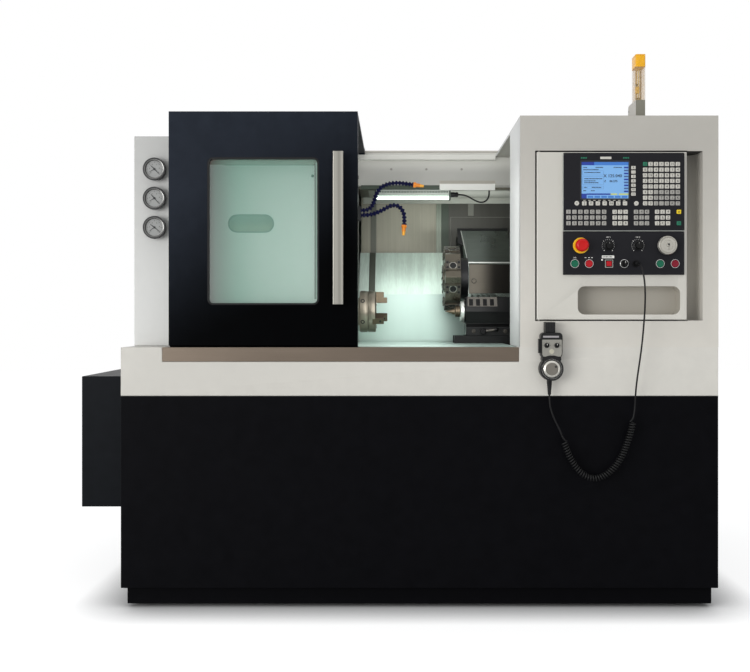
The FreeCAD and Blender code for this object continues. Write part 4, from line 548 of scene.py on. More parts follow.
def addTurned(bm, centre, axis, profile, steps=48, slot=0):
    # a closed body of revolution; the profile holds (radius, height) and starts and ends on the axis
    turn = Vector(axis).to_track_quat("Z", "Y").to_matrix()
    rings = []
    for radius, height in profile:
        flat = [(0, 0)] if radius < 1e-7 else circle(steps)
        rings.append([bm.verts.new(Vector(centre) + turn @ Vector((radius * c, radius * s, height)))
                      for c, s in flat])
    for a, b in zip(rings, rings[1:]):
        for k in range(steps):
            after = (k + 1) % steps
            if len(a) == 1:
                corners = (a[0], b[k], b[after])
            elif len(b) == 1:
                corners = (a[k], a[after], b[0])
            else:
                corners = (a[k], a[after], b[after], b[k])
            bm.faces.new(corners).material_index = slot


def addHoop(bm, centre, axis, profile, steps, slot=0):
    # a hoop round an open bore; the profile runs back into its start
    turn = Vector(axis).to_track_quat("Z", "Y").to_matrix()
    rings = [[bm.verts.new(Vector(centre) + turn @ Vector((radius * c, radius * s, height)))
              for c, s in circle(steps)] for radius, height in profile]
    bridge(bm, rings + rings[:1], slot)


outward = (0, -1, 0)  # towards the front


def drum(radius, low, high):
    return [(0, low), (radius, low), (radius, high), (0, high)]


def addBolt(bm, spot, way, radius, rise, well, floor, steps, slot, sink=0.001):
    # a bolt's head with a round well in it
    addTurned(bm, spot, way, [
        (0, -sink), (radius, -sink), (radius, rise), (well, rise), (well, floor), (0, floor)], steps, slot)


def addPrism(bm, rows, slot=0):
    # two outlines of as many points and the faces between them
    for corners in (rows[0], rows[1][::-1]):
        bm.faces.new(corners).material_index = slot
    a, b = rows
    for k in range(len(a)):
        after = (k + 1) % len(a)
        bm.faces.new((a[k], b[k], b[after], a[after])).material_index = slot


def addPlate(bm, outline, back, front, slot=0):
    # an outline in X and Z, as thick as from back to front in Y
    addPrism(bm, [[bm.verts.new((x, y, z)) for x, z in outline] for y in (back, front)], slot)


def addSlab(bm, base, way, points, low, high, slot=0):
    # a slab on a slope: the points hold (X, length up the slope) and the heights stand off it
    out = Vector((0, -way.z, way.y))
    under, over = [[bm.verts.new(base + Vector((x, 0, 0)) + way * s + out * rise) for x, s in points]
                   for rise in (low, high)]
    addPrism(bm, (under[::-1], over[::-1]), slot)


def strip(x0, x1, s0, s1):
    return [(x0, s0), (x1, s0), (x1, s1), (x0, s1)]


def addRing(bm, outer, inner, back, front, slot=0):
    # a closed frame between two outlines of as many points
    rows = [[bm.verts.new((x, y, z)) for x, z in shape]
            for shape, y in ((outer, back), (inner, back), (inner, front), (outer, front))]
    bridge(bm, rows + rows[:1], slot)


def addMark(bm, centre, angle, reach, half, depth, slot, taper=1.0):
    # a straight mark on a dial from one radius to another, over a depth in Y
    way = Vector((math.cos(angle), 0, math.sin(angle)))
    side = Vector((-way.z, 0, way.x)) * half
    start, end = centre + way * reach[0], centre + way * reach[1]
    ends = (start - side, start + side, end + side * taper, end - side * taper)
    addPlate(bm, [(p.x, p.z) for p in ends], *depth, slot)


def roundOutline(x, z, radius, steps=5):
    points = []
    for i, (cx, cz) in enumerate(((x[1] - radius, z[1] - radius), (x[0] + radius, z[1] - radius),
                                  (x[0] + radius, z[0] + radius), (x[1] - radius, z[0] + radius))):
        for k in range(steps + 1):
            angle = math.pi / 2 * (i + k / steps)
            points.append((cx + radius * math.cos(angle), cz + radius * math.sin(angle)))
    return points


def wider(span, step):
    return (span[0] - step, span[1] + step)


glyphMeshes = {}


def plainMesh(thing):
    # the mesh that a curve, a text or a modifier makes, in place of its object
    bpy.context.view_layer.update()
    mesh = bpy.data.meshes.new_from_object(thing.evaluated_get(bpy.context.evaluated_depsgraph_get()))
    bpy.data.objects.remove(thing)
    return mesh


def glyphMesh(words):
    # letters and numbers of the built-in font, one unit high, flat in X and Y
    if words not in glyphMeshes:
        data = bpy.data.curves.new("glyph", "FONT")
        data.body = words
        data.size = 1.0
        data.align_x = "CENTER"
        data.align_y = "CENTER"
        data.resolution_u = 2
        glyphMeshes[words] = plainMesh(placed("glyph", data))
    return glyphMeshes[words]


def addText(bm, words, size, place, slot=0, thick=0.0003):
    # the words upright at a place, facing the front
    part = bmesh.new()
    part.from_mesh(glyphMesh(words))
    grown = bmesh.ops.extrude_face_region(part, geom=part.faces[:])
    raised = [item for item in grown["geom"] if isinstance(item, bmesh.types.BMVert)]
    bmesh.ops.translate(part, verts=raised, vec=(0, 0, thick / size))
    stand = Matrix.Translation(place) @ Matrix.Rotation(math.pi / 2, 4, "X") @ Matrix.Scale(size, 4)
    bmesh.ops.transform(part, matrix=stand, verts=part.verts)
    mesh = meshOf("words", part, True)
    first = len(bm.faces)
    bm.from_mesh(mesh)
    bm.faces.ensure_lookup_table()
    for face in bm.faces[first:]:
        face.material_index = slot
    bpy.data.meshes.remove(mesh)


# two geometry trees, both built from named nodes and the links between them
socketNames = {
    "Points": "Geometry", "Host": "Geometry", "Piece": "Object", "Route": "Object", "Finish": "Material",
    "Size Spread": "Float", "Seed": "Int", "Links": "Int"}


def geometryTree(name, inputs):
    tree = bpy.data.node_groups.new(name, "GeometryNodeTree")
    for label in inputs:
        tree.interface.new_socket(label, in_out="INPUT", socket_type="NodeSocket" + socketNames[label])
    tree.interface.new_socket("Result", in_out="OUTPUT", socket_type="NodeSocketGeometry")
    given = tree.nodes.new("NodeGroupInput")
    parts = {"copies": tree.nodes.new("GeometryNodeInstanceOnPoints"),
             "source": tree.nodes.new("GeometryNodeObjectInfo"),
             "real": tree.nodes.new("GeometryNodeRealizeInstances"),
             "coated": tree.nodes.new("GeometryNodeSetMaterial"),
             "result": tree.nodes.new("NodeGroupOutput"), "given": given}
    joinNodes(tree, parts, (
        ("given", "Piece", "source", "Object"), ("source", "Geometry", "copies", "Instance"),
        ("copies", "Instances", "real", "Geometry"), ("real", "Geometry", "coated", "Geometry"),
        ("given", "Finish", "coated", "Material"), ("coated", "Geometry", "result", "Result")))
    return tree, parts


def joinNodes(tree, parts, links):
    for start, output, end, socket in links:
        tree.links.new(parts[start].outputs[output], parts[end].inputs[socket])


def buildRepeater():
    # sets a copy of one piece on each point, turned as the point says
    tree, parts = geometryTree("repeatPiece", ("Points", "Piece", "Finish", "Size Spread", "Seed"))
    parts["turn"] = addNode(tree, "GeometryNodeInputNamedAttribute", {"Name": "turn"},
                            data_type="FLOAT_VECTOR")
    parts["spin"] = tree.nodes.new("FunctionNodeEulerToRotation")
    spread = tree.nodes.new("FunctionNodeRandomValue")
    size = parts["given"].outputs["Size Spread"]
    limits = [socket for socket in spread.inputs if socket.type == "VALUE"]
    for socket, operation in zip(limits, ("SUBTRACT", "ADD")):
        tree.links.new(calc(tree, operation, 1.0, size), socket)
    tree.links.new(parts["given"].outputs["Seed"], spread.inputs["Seed"])
    scale = [socket for socket in spread.outputs if socket.type == "VALUE"][0]
    tree.links.new(scale, parts["copies"].inputs["Scale"])
    joinNodes(tree, parts, (
        ("turn", "Attribute", "spin", "Euler"), ("given", "Points", "copies", "Points"),
        ("spin", "Rotation", "copies", "Rotation")))
    return tree


def buildLinker():
    # threads links on a curve
    tree, parts = geometryTree("threadLinks", ("Host", "Route", "Piece", "Finish", "Links"))
    parts["route"] = tree.nodes.new("GeometryNodeObjectInfo")
    parts["stations"] = addNode(tree, "GeometryNodeCurveToPoints", mode="COUNT")
    joinNodes(tree, parts, (
        ("given", "Route", "route", "Object"), ("route", "Geometry", "stations", "Curve"),
        ("given", "Links", "stations", "Count"), ("stations", "Points", "copies", "Points"),
        ("stations", "Rotation", "copies", "Rotation")))
    return tree


repeater = buildRepeater()
linker = buildLinker()


def grown(name, tree, host, values):
    # the plain mesh that a geometry tree makes on a host mesh
    thing = placed(name, host)
    modifier = thing.modifiers.new("grow", "NODES")
    modifier.node_group = tree
    for socket in tree.interface.items_tree:
        if socket.item_type == "SOCKET" and socket.in_out == "INPUT" and socket.name in values:
            modifier[socket.identifier] = values[socket.name]
    return plainMesh(thing)


def repeatPiece(name, bm, places, body, coat, angle=30):
    # copies of the piece at each (point, turn) as one mesh on a body
    model = placed(name + "Model", meshOf(name + "Model", bm, True))
    cloud = bpy.data.meshes.new(name + "Points")
    cloud.from_pydata([tuple(point) for point, turn in places], [], [])
    cloud.attributes.new("turn", "FLOAT_VECTOR", "POINT").data.foreach_set(
        "vector", [value for point, turn in places for value in turn])
    mesh = grown(name, repeater, cloud, {"Piece": model, "Finish": finishes[coat], "Size Spread": 0.0,
                                         "Seed": 4})
    bpy.data.objects.remove(model)
    dressMesh(name, mesh, body, (coat,), angle=angle)


facing = {"front": (0.0, 0.0, 0.0), "back": (0.0, 0.0, math.pi), "left": (0.0, 0.0, -math.pi / 2)}


def screwHead(radius, height):
    # a socket cap screw that faces the front, with a round socket
    bm = bmesh.new()
    rim, well = radius * 0.86, radius * 0.55
    addTurned(bm, (0, 0, 0), outward, [
        (0, -height * 0.5), (radius, -height * 0.5), (radius, height * 0.8), (rim, height), (well, height),
        (well, height * 0.35), (0, height * 0.35)], 18)
    return bm


def addScrews(name, body, coat, places, side, radius, height):
    repeatPiece(name, screwHead(radius, height), [(place, facing[side]) for place in places], body,
                coat)


# the large painted and cast pieces keep the shapes of their solids
largePieces = [
    ("base_skirt", "baseShell", "blackPaint", 0.003), ("motor_cover", "sideBoxShell", "boxPaint", 0.003),
    ("door_frame", "doorShell", "doorPaint", 0.002), ("deck_tray", "deckShell", "bandPaint", 0.003),
    ("left_cover", "leftCoverShell", "coverPaint", 0.003), ("rear_housing", "rearShell", "whitePaint", 0.003),
    ("rear_beam", "roofBeam", "beamPaint", 0.002),
    ("sill_strip", "sillTrim", "sillSteel", 0.001), ("door_handle", "doorPull", "handleSteel", 0.001),
    ("slant_bed", "slantBed", "castIron", 0.002), ("tailstock_way", "tailWay", "castIron", 0.001),
    ("headstock", "headstockCasting", "castIron", 0.003), ("carriage", "saddleCasting", "castIron", 0.002),
    ("tailstock_body", "tailCasting", "castIron", 0.003),
    ("floor_feet", "levellingFeet", "castIron", 0.001), ("spindle", "spindleShaft", "machinedSteel", 0.001),
    ("coolant_manifold", "coolantBlock", "boltBlack", 0.001),
]
for node, name, coat, bevel in largePieces:
    dress(node, name, (coat,), bevel)
dress("control_cabinet", "cabinetShell", ("whitePaint", "seamShade", "returnPaint"), 0.003, pickCabinet)
print("large pieces dressed:", len(largePieces) + 1)


neckEnd = 0.2139
fillerPlug = {"x": 0.240, "z": 1.148, "reach": 0.009}


def pickHousing(centre, normal):
    # the neck that carries the disc is blackened, and the filler plug is as its cover
    if centre.x < neckEnd:
        return 1
    spot = max(abs(centre.x - fillerPlug["x"]), abs(centre.z - fillerPlug["z"]))
    return 2 if spot < fillerPlug["reach"] else 0


dress("turret_slide", "turretHousing", ("slideSteel", "boltBlack", "coverSteel"), 0.002, pickHousing)


# sheet steel of the machining space, one steel in lit and shaded copies: bright below and pale on the slope
# as painted light, streaked on the slope, brown at the back as painted shade
linerLook = {"bend": 1.0976, "crest": 1.2878}


def pickLiner(centre, normal):
    if centre.z < linerLook["bend"]:
        return 0
    return 1 if centre.z < linerLook["crest"] else 2


dress("wall_liner", "linerSheets", ("linerBright", "linerMiddle", "linerUpper"), 0.001, pickLiner)

# the swing-out box: its front is painted, its tray is darker with painted shade
trayLook = {"x": (0.5425, 0.8935), "z": (1.0085, 1.1055), "front": -0.7499}


def pickBox(centre, normal):
    (x0, x1), (z0, z1) = wider(trayLook["x"], atPlace), wider(trayLook["z"], atPlace)
    return 1 if x0 < centre.x < x1 and z0 < centre.z < z1 and centre.y > trayLook["front"] else 0


dress("control_box", "swingBoxShell", ("facePaint", "trayPaint"), 0.002, pickBox)


# door window: a pane in a rubber seal
paneLow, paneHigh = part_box("door_glass")
windowLook = {
    "x": (-0.728, -0.345), "z": (1.042, 1.548), "corner": 0.020, "seal": 0.006, "front": -0.7475,
    "sunk": 0.0003, "edgeRoot": -0.7481, "edgeShort": 0.020,
    "edges": ((-0.0060, -0.0005, -0.7487, 0), (-0.0085, -0.0062, -0.7486, 1))}


def addWindow(look):
    bm = bmesh.new()
    addBlock(bm, paneLow, paneHigh)
    addThing("doorPane", bm, "door", "door_pane", "paneGlass", bevel=0.0005, stands=("door_glass",))
    bm = bmesh.new()
    width = look["seal"]
    outer = roundOutline(look["x"], look["z"], look["corner"])
    inner = roundOutline(wider(look["x"], -width), wider(look["z"], -width), look["corner"] - width)
    addRing(bm, outer, inner, paneLow.y + look["sunk"], look["front"])
    addThing("windowSeal", bm, "door", "black_rubber", "blackRubber")
    # the window's right edge carries a painted highlight, the lit inside of the cut-out, with a dark line of
    # painted shade beside it
    bm = bmesh.new()
    right = look["x"][1] - width
    for start, end, front, slot in look["edges"]:
        addBar(bm, (right + start, right + end), (front, look["edgeRoot"]),
               wider(look["z"], -look["edgeShort"]), slot)
    addThing("paneEdge", bm, "door", "door_pane", "edgePale", "seamShade")


addWindow(windowLook)


# pressure gauges: black case, bright ring, grey dial with ticks and numbers, dark needle
gaugeLook = {
    "x": -0.946, "levels": (1.321, 1.4255, 1.530), "wall": -0.575, "radius": 0.041, "depth": 0.030,
    "turns": (-0.66, -0.85, -0.78), "tails": (4.42, 4.50, 4.44),
    "numbers": ("0", "2", "4", "6", "8", "10"), "start": 225, "tick": 9, "ticks": 31,
    "long": (0.54, 0.0006), "short": (0.60, 0.0003), "tickEnd": 0.68, "numberAt": 0.44, "numberSize": 0.17,
    "hands": ((0.64, 0.0017), (0.46, 0.0022), (0.55, 0.0014)), "taper": 0.3}


def addGauge(index, look):
    centre = Vector((look["x"], look["wall"], look["levels"][index]))
    r, depth = look["radius"], look["depth"]
    bm = bmesh.new()
    addTurned(bm, centre, outward, [
        (0, 0.0002), (r * 0.93, 0.0002), (r * 0.93, depth * 0.5), (r, depth * 0.6), (r, depth - 0.003),
        (r * 0.97, depth), (r * 0.88, depth), (r * 0.85, depth - 0.0095), (0, depth - 0.0095)], 64, 0)
    addTurned(bm, centre, outward, [
        (0, depth - 0.0100), (r * 0.86, depth - 0.0100), (r * 0.86, depth - 0.0004),
        (r * 0.80, depth - 0.0012), (r * 0.745, depth - 0.0080), (0, depth - 0.0080)], 64, 1)
    face = depth - 0.0080
    addTurned(bm, centre, outward, drum(r * 0.73, face - 0.001, face + 0.0002), 48, 2)
    front = centre.y - face - 0.0003
    for i in range(look["ticks"]):
        start, half = look["long" if i % 5 == 0 else "short"]
        angle = math.radians(look["start"] - look["tick"] * i)
        addMark(bm, centre, angle, (r * start, r * look["tickEnd"]), half, (front, front - 0.0002), 3)
    for i, words in enumerate(look["numbers"]):
        angle = math.radians(look["start"] - 6 * look["tick"] * i)
        reach = r * look["numberAt"]
        spot = Vector((centre.x + math.cos(angle) * reach, front, centre.z + math.sin(angle) * reach))
        addText(bm, words, r * look["numberSize"], spot, 3, 0.0002)
    needle = look["turns"][index]
    for turn, (length, half) in zip((0, math.pi, look["tails"][index]), look["hands"]):
        addMark(bm, centre, needle + turn, (0, r * length), half, (front - 0.0004, front - 0.0010), 3,
                look["taper"])
    hub = (centre.x, front, centre.z)
    addTurned(bm, hub, outward, [(0, 0), (0.0042, 0), (0.0036, 0.0018), (0, 0.0022)], 20, 3)
    stands = ("gauge_cases",) if index == 0 else ()
    addThing(f"pressureGauge{index + 1}", bm, "machine", "gauge_face", "gaugeCase", "gaugeRim", "gaugeDial",
             "inkBlack", stands=stands)


for index in range(len(gaugeLook["levels"])):
    addGauge(index, gaugeLook)
print("window and gauges made")


# seams, a band of painted shade under the window's top edge, screw and sight slot of the left cover, as the
# window shows them
coverLook = {
    "front": -0.575, "root": 0.002, "screw": (-0.381, 1.5086),
    "strips": (((-0.700, -0.262), (1.5465, 1.5490), 0.0006, 0),
               ((-0.2625, -0.2600), (0.900, 1.5490), 0.0006, 0),
               ((-0.7600, -0.2626), (1.5492, 1.6000), 0.0005, 1)),
    "slotX": (-0.686, -0.520), "slotZ": (1.304, 1.370), "slotRound": 0.033, "edging": 0.004,
    "edgingDepth": (0.0005, -0.0012), "backDepth": (0.0100, 0.0075)}


def addCoverDetail(look):
    front = look["front"]
    bm = bmesh.new()
    for x, z, rise, slot in look["strips"]:
        addBar(bm, x, (front - rise, front + look["root"]), z, slot)
    addThing("coverSeams", bm, "machine", "white_paint", "seamShade", "coverBand")
    x, z = look["screw"]
    addScrews("coverScrews", "machine", "boltBlack", [(x, front, z)], "front", 0.005, 0.003)
    bm = bmesh.new()
    width = look["edging"]
    outline = roundOutline(look["slotX"], look["slotZ"], look["slotRound"], 8)
    inner = roundOutline(wider(look["slotX"], -width), wider(look["slotZ"], -width),
                         look["slotRound"] - width, 8)
    addRing(bm, outline, inner, *(front + y for y in look["edgingDepth"]))
    addThing("slotEdging", bm, "machine", "black_rubber", "blackRubber")
    # the slot's back: a plate in painted shade, darker towards the top
    bm = bmesh.new()
    addPlate(bm, inner, *(front + y for y in look["backDepth"]))
    addThing("slotBack", bm, "machine", "white_paint", "slotPaint")


addCoverDetail(coverLook)


# chuck: body, face bolts, jaws with serrations and bolts
chuckLook = {
    "jawTurns": (90, 210, 330), "boltRing": 0.060, "faceBolts": (30, 150, 270), "backBolts": 6,
    "backRing": 0.0812, "backAt": 0.014, "teeth": 7, "toothStart": 0.0355, "toothPitch": 0.0029,
    "toothHalf": 0.0120, "toothSize": (0.0010, 0.0013), "jawBolts": (0.0705, 0.0640), "jawBoltAt": 0.0130,
    "jawWells": ((0.012, 0.056), (0.026, 0.078))}


def radialSpot(turn, reach, x):
    angle = math.radians(turn)
    return Vector((x, spindleLine[0] - math.cos(angle) * reach, spindleLine[1] + math.sin(angle) * reach))


def addChuck(look):
    low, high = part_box("chuck_body")
    dress("chuck_body", "chuckBody", ("machinedSteel",), 0.0012)
    bm = bmesh.new()
    for turn in look["faceBolts"]:
        spot = radialSpot(turn, look["boltRing"], high.x)
        addTurned(bm, spot, (1, 0, 0), drum(0.008, -0.002, 0.0002), 24, 0)
        addTurned(bm, spot, (1, 0, 0), [(0, 0.0001), (0.0062, 0.0001), (0.0058, 0.0022), (0.0034, 0.0022),
                                        (0.0034, 0.0010), (0, 0.0010)], 24, 1)
    for i in range(look["backBolts"]):
        spot = radialSpot(30 + 60 * i, look["backRing"], low.x + look["backAt"])
        out = spot - Vector((spot.x, *spindleLine))
        addBolt(bm, spot, out, 0.0085, 0.0012, 0.0045, 0.0004, 24, 0)
    addThing("chuckBolts", bm, "spindle_line", "machined_steel", "boltBlack", "boltSteel")


def addJaw(index, look):
    node = f"chuck_jaw_{index + 1}"
    dress(node, f"chuckJaw{index + 1}", ("jawSteel",), 0.0008)
    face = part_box(node)[1].x
    bm = bmesh.new()
    half, (rise, width) = look["toothHalf"], look["toothSize"]
    for i in range(look["teeth"]):
        level = look["toothStart"] + look["toothPitch"] * i
        addBar(bm, (face - 0.0002, face + rise), (-half, half), (level, level + width), 0)
    for reach in look["jawBolts"]:
        addBolt(bm, (face - look["jawBoltAt"], 0, reach), (1, 0, 0), 0.0045, 0.0006, 0.0024, 0.0001, 20, 1)
    for depth, level in look["jawWells"]:
        addTurned(bm, (face - depth, 0, level), (0, 0, 1), drum(0.0048, -0.001, 0.0004), 20, 1)
    spin = Matrix.Rotation(math.radians(look["jawTurns"][index] - 90), 4, "X")
    bmesh.ops.transform(bm, matrix=Matrix.Translation((0, *spindleLine)) @ spin, verts=bm.verts)
    body = "jaw_" + "abc"[index]
    addThing(f"jawDetail{index + 1}", bm, body, "machined_steel", "jawSteel", "boltBlack")


addChuck(chuckLook)
for index in range(len(chuckLook["jawTurns"])):
    addJaw(index, chuckLook)


# turret disc: an eight-sided disc with a clamp, a bored socket and screws at each station
discLook = {
    "stations": 8, "flat": 0.12288, "x": (0.118, 0.181), "clampHalf": 0.0205, "clampRise": 0.0078,
    "clampWide": 0.015, "bridge": 0.006, "screwAt": (0.0085, 0.011), "side": (-0.0035, 0.002),
    "sideHalf": 0.016, "sideZ": (0.030, 0.006), "sideScrew": (0.009, 0.018), "hubBolts": 0.036}


def addStation(index, look):
    # the station lies on top, at +Z, and is turned about the disc's axis afterwards
    bm = bmesh.new()
    left, right = look["x"]
    flat, half, rise = look["flat"], look["clampHalf"], look["clampRise"]
    root, wide, bar = flat - 0.001, look["clampWide"] + 0.001, look["bridge"]
    for start, end in ((left + 0.001, left + wide), (right - wide, right - 0.001)):
        addBar(bm, (start, end), (-half, half), (root, flat + rise), 3)
    for start, end in ((-half, -half + bar), (half - bar, half)):
        addBar(bm, (left + wide, right - wide), (start, end), (root, flat + rise * 0.6), 0)
    across, along = look["screwAt"]
    for x in (left + across, right - across):
        for y in (-along, along):
            addBolt(bm, (x, y, flat + rise), (0, 0, 1), 0.0052, 0.0008, 0.0030, 0.0002, 18, 1)
    middle = ((left + right) / 2, 0, flat)
    addTurned(bm, middle, (0, 0, 1), drum(0.0128, -0.002, 0.0005), 28, 1)
    addTurned(bm, middle, (0, 0, 1), [
        (0, 0), (0.0165, 0), (0.0160, 0.0018), (0.0131, 0.0018), (0.0131, 0.0004), (0, 0.0004)], 32, 2)
    start, end = look["side"]
    top, bottom = look["sideZ"]
    addBar(bm, (left + start, left + end), (-look["sideHalf"], look["sideHalf"]),
           (flat - top, flat - bottom), 0)
    along, down = look["sideScrew"]
    for y in (-along, along):
        addBolt(bm, (left + start, y, flat - down), (-1, 0, 0), 0.0042, 0.0006, 0.0024, 0.0001, 18, 1)
    angle = 2 * math.pi / look["stations"] * (index + 0.5) - math.pi / 2
    place = middleOf("turret_disc")
    turn = Matrix.Translation((0, place.y, place.z)) @ Matrix.Rotation(angle, 4, "X")
    bmesh.ops.transform(bm, matrix=turn, verts=bm.verts)
    addThing(f"turretStation{index + 1}", bm, "turret", "machined_steel", "discSteel", "boltBlack",
             "boltSteel", "clampIron", bevel=0.0007)


def addDisc(look):
    dress("turret_disc", "turretDisc", ("discSteel",), 0.0025)
    for index in range(look["stations"]):
        addStation(index, look)
    bm = bmesh.new()
    place = middleOf("turret_disc")
    centre = Vector((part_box("turret_disc")[0].x + 0.0005, place.y, place.z))
    addTurned(bm, centre, (-1, 0, 0), [
        (0, -0.002), (0.050, -0.002), (0.050, 0.0), (0.046, 0.0012), (0.020, 0.0012), (0.018, 0.0),
        (0, 0.0)], 64, 0)
    for c, s in circle(look["stations"]):
        spot = centre + Vector((-0.0010, c * look["hubBolts"], s * look["hubBolts"]))
        addBolt(bm, spot, (-1, 0, 0), 0.0048, 0.0020, 0.0028, 0.0006, 20, 1, 0)
    addThing("turretHub", bm, "turret", "machined_steel", "discSteel", "boltBlack")


addDisc(discLook)
print("chuck and turret made")


# tailstock: quill with a bright nose, live centre with a turned collar
quillBore = 0.01425


def addTailParts():
    low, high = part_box("tailstock_quill")
    radius, length = (high.z - low.z) / 2, high.x - low.x
    centre = Vector((low.x, (low.y + high.y) / 2, (low.z + high.z) / 2))
    bm = bmesh.new()
    addHoop(bm, centre, (1, 0, 0), [
        (quillBore, 0.0004), (radius * 0.62, 0.0004), (radius * 0.64, 0.0), (radius - 0.003, 0.0),
        (radius, 0.003), (radius, 0.017), (radius - 0.0008, 0.018), (radius - 0.0008, length),
        (quillBore, length)], 56)
    addThing("quillNose", bm, "quill", "machined_steel", "quillSteel", stands=("tailstock_quill",))
    low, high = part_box("live_centre")
    end = high.x - low.x
    bm = bmesh.new()
    addTurned(bm, (low.x, centre.y, centre.z), (1, 0, 0), [
        (0, 0), (0.0010, 0.0008), (0.0120, 0.0340), (0.0125, 0.0380), (0.0200, 0.0390), (0.0220, 0.0410),
        (0.0220, 0.0480), (0.0212, 0.0488), (0.0220, 0.0496), (0.0220, 0.0580), (0.0205, 0.0598),
        (0.0140, 0.0598), (0.0140, end), (0, end)], 48)
    addThing("liveCentre", bm, "centre", "machined_steel", "jawSteel", stands=("live_centre",))


addTailParts()


# tailstock trim: collar with bolts behind the quill, slotted plate, clamp lever and nuts on the casting
tailLook = {
    "collar": 0.045, "bolts": 6, "front": -0.2458, "nutFront": -0.2470, "nuts": (0.226, 0.350),
    "level": 0.9440, "lever": 0.046, "leverAt": 0.262, "leverFront": -0.2550, "leverLift": 0.14,
    "slopeFoot": (-0.246, 1.022), "slope": (0, 0.029, 0.058),
    "slotted": [(0.2030, 0.3200, 0.022, 0.0635, 0.0016, 0)]
    + [(0.2085 + 0.0275 * i, 0.2245 + 0.0275 * i, 0.0245, 0.054, 0.0022, 1) for i in range(4)]}


def addTailTrim(look):
    low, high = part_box("tailstock_quill")
    quill, half = middleOf("tailstock_quill"), (high - low) / 2
    middle = Vector((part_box("tailstock_body")[0].x, quill.y, quill.z))
    ring, inner = look["collar"], half.z + 0.0015
    bm = bmesh.new()
    addHoop(bm, middle, (-1, 0, 0), [
        (inner, -0.0005), (ring, -0.0005), (ring, 0.0040), (ring - 0.002, 0.0055), (inner, 0.0055)], 48)
    for i in range(look["bolts"]):
        angle = 2 * math.pi * (i + 0.5) / look["bolts"]
        reach = (ring + inner) / 2
        spot = middle + Vector((-0.0050, math.cos(angle) * reach, math.sin(angle) * reach))
        addBolt(bm, spot, (-1, 0, 0), 0.0036, 0.0024, 0.0020, 0.0010, 18, 1, 0)
    addThing("quillCollar", bm, "tailstock", "cast_iron", "castIron", "boltSteel", bevel=0.0004)
    bm = bmesh.new()
    for x0, x1, s0, s1, rise, slot in look["slotted"]:
        addSlab(bm, Vector((0, *look["slopeFoot"])), Vector(look["slope"]).normalized(),
                strip(x0, x1, s0, s1), -0.001, rise, slot)
    for x in look["nuts"]:
        addTurned(bm, (x, look["front"], look["level"]), outward, drum(0.0085, 0, 0.0015), 28, 2)
        addTurned(bm, (x, look["nutFront"], look["level"]), outward, [
            (0, 0), (0.0062, 0), (0.0062, 0.0050), (0.0050, 0.0060), (0, 0.0060)], 6, 2)
    x, y, z, long = look["leverAt"], look["leverFront"], look["level"], look["lever"]
    addTurned(bm, (x, look["front"], z), outward, [
        (0, 0), (0.0120, 0), (0.0120, 0.0130), (0.0100, 0.0150), (0, 0.0150)], 28, 1)
    way = (1, 0, look["leverLift"])
    addTurned(bm, (x, y, z), way, [(0, 0), (0.0045, 0), (0.0040, long), (0, long)], 20, 0)
    addTurned(bm, (x + long, y, z + look["leverLift"] * long), way, [
        (0, -0.003), (0.0065, -0.001), (0.0085, 0.006), (0.0065, 0.013), (0, 0.015)], 24, 1)
    addThing("tailFittings", bm, "tailstock", "cast_iron", "finGrey", "knobBlack", "clampIron", bevel=0.0005)


addTailTrim(tailLook)


# the curly cord from the operator panel to the pendant, one wire through three solids
cordLook = {
    "radius": 0.003, "curlRadius": 0.0092, "curls": 46, "stepsPerCurl": 14, "lead": 0.007, "swing": 0.013,
    "sides": 8, "length": 3.37}
glandLow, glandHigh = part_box("cord_gland")
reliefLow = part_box("pendant_body")[0]
cordPlane = -0.7773
glandTip = Vector(((glandLow.x + glandHigh.x) / 2, glandLow.y, (glandLow.z + glandHigh.z) / 2))
upperRoute = [glandTip, glandTip + Vector((0, -0.020, 0)), glandTip + Vector((0.0015, -0.040, -0.010))]
upperRoute += [Vector(point) for point in (
    (0.746, -0.830, 1.152), (0.751, -0.831, 1.124), (0.755, -0.826, 1.085), (0.757, -0.815, 1.035),
    (0.756, -0.804, 0.980), (0.753, -0.797, 0.925), (0.747, -0.794, 0.870), (0.739, -0.793, 0.815),
    (0.733, -0.790, 0.765), (0.732, -0.783, 0.725), (0.7316, cordPlane, 0.689), (0.728, cordPlane, 0.662))]
coilRoute = [Vector((x, cordPlane, z)) for x, z in (
    (0.728, 0.662), (0.724, 0.632), (0.713, 0.595), (0.701, 0.558), (0.6855, 0.522), (0.664, 0.490),
    (0.633, 0.462), (0.596, 0.449), (0.560, 0.459), (0.532, 0.487), (0.5115, 0.521), (0.4965, 0.558),
    (0.4845, 0.593))]
lowerRoute = [Vector((x, cordPlane, z)) for x, z in ((0.4845, 0.593), (0.47736, 0.61382), (0.462, 0.643),
                                                     (0.448, 0.676), (0.441, 0.708), (0.441, reliefLow.z))]


def splineCurve(name, points, steps=8):
    # a smooth open spline with the points as its control points
    data = bpy.data.curves.new(name, "CURVE")
    data.dimensions = "3D"
    data.resolution_u = steps
    spline = data.splines.new("NURBS")
    spline.points.add(len(points) - 1)
    for spot, point in zip(spline.points, points):
        spot.co = (*point, 1)
    spline.order_u = 3
    spline.use_endpoint_u = True
    return placed(name, data)


def splinePoints(points, steps=8):
    # points along the smooth spline through a route
    mesh = plainMesh(splineCurve("routeLine", points, steps))
    line = [vertex.co.copy() for vertex in mesh.vertices]
    bpy.data.meshes.remove(mesh)
    return line


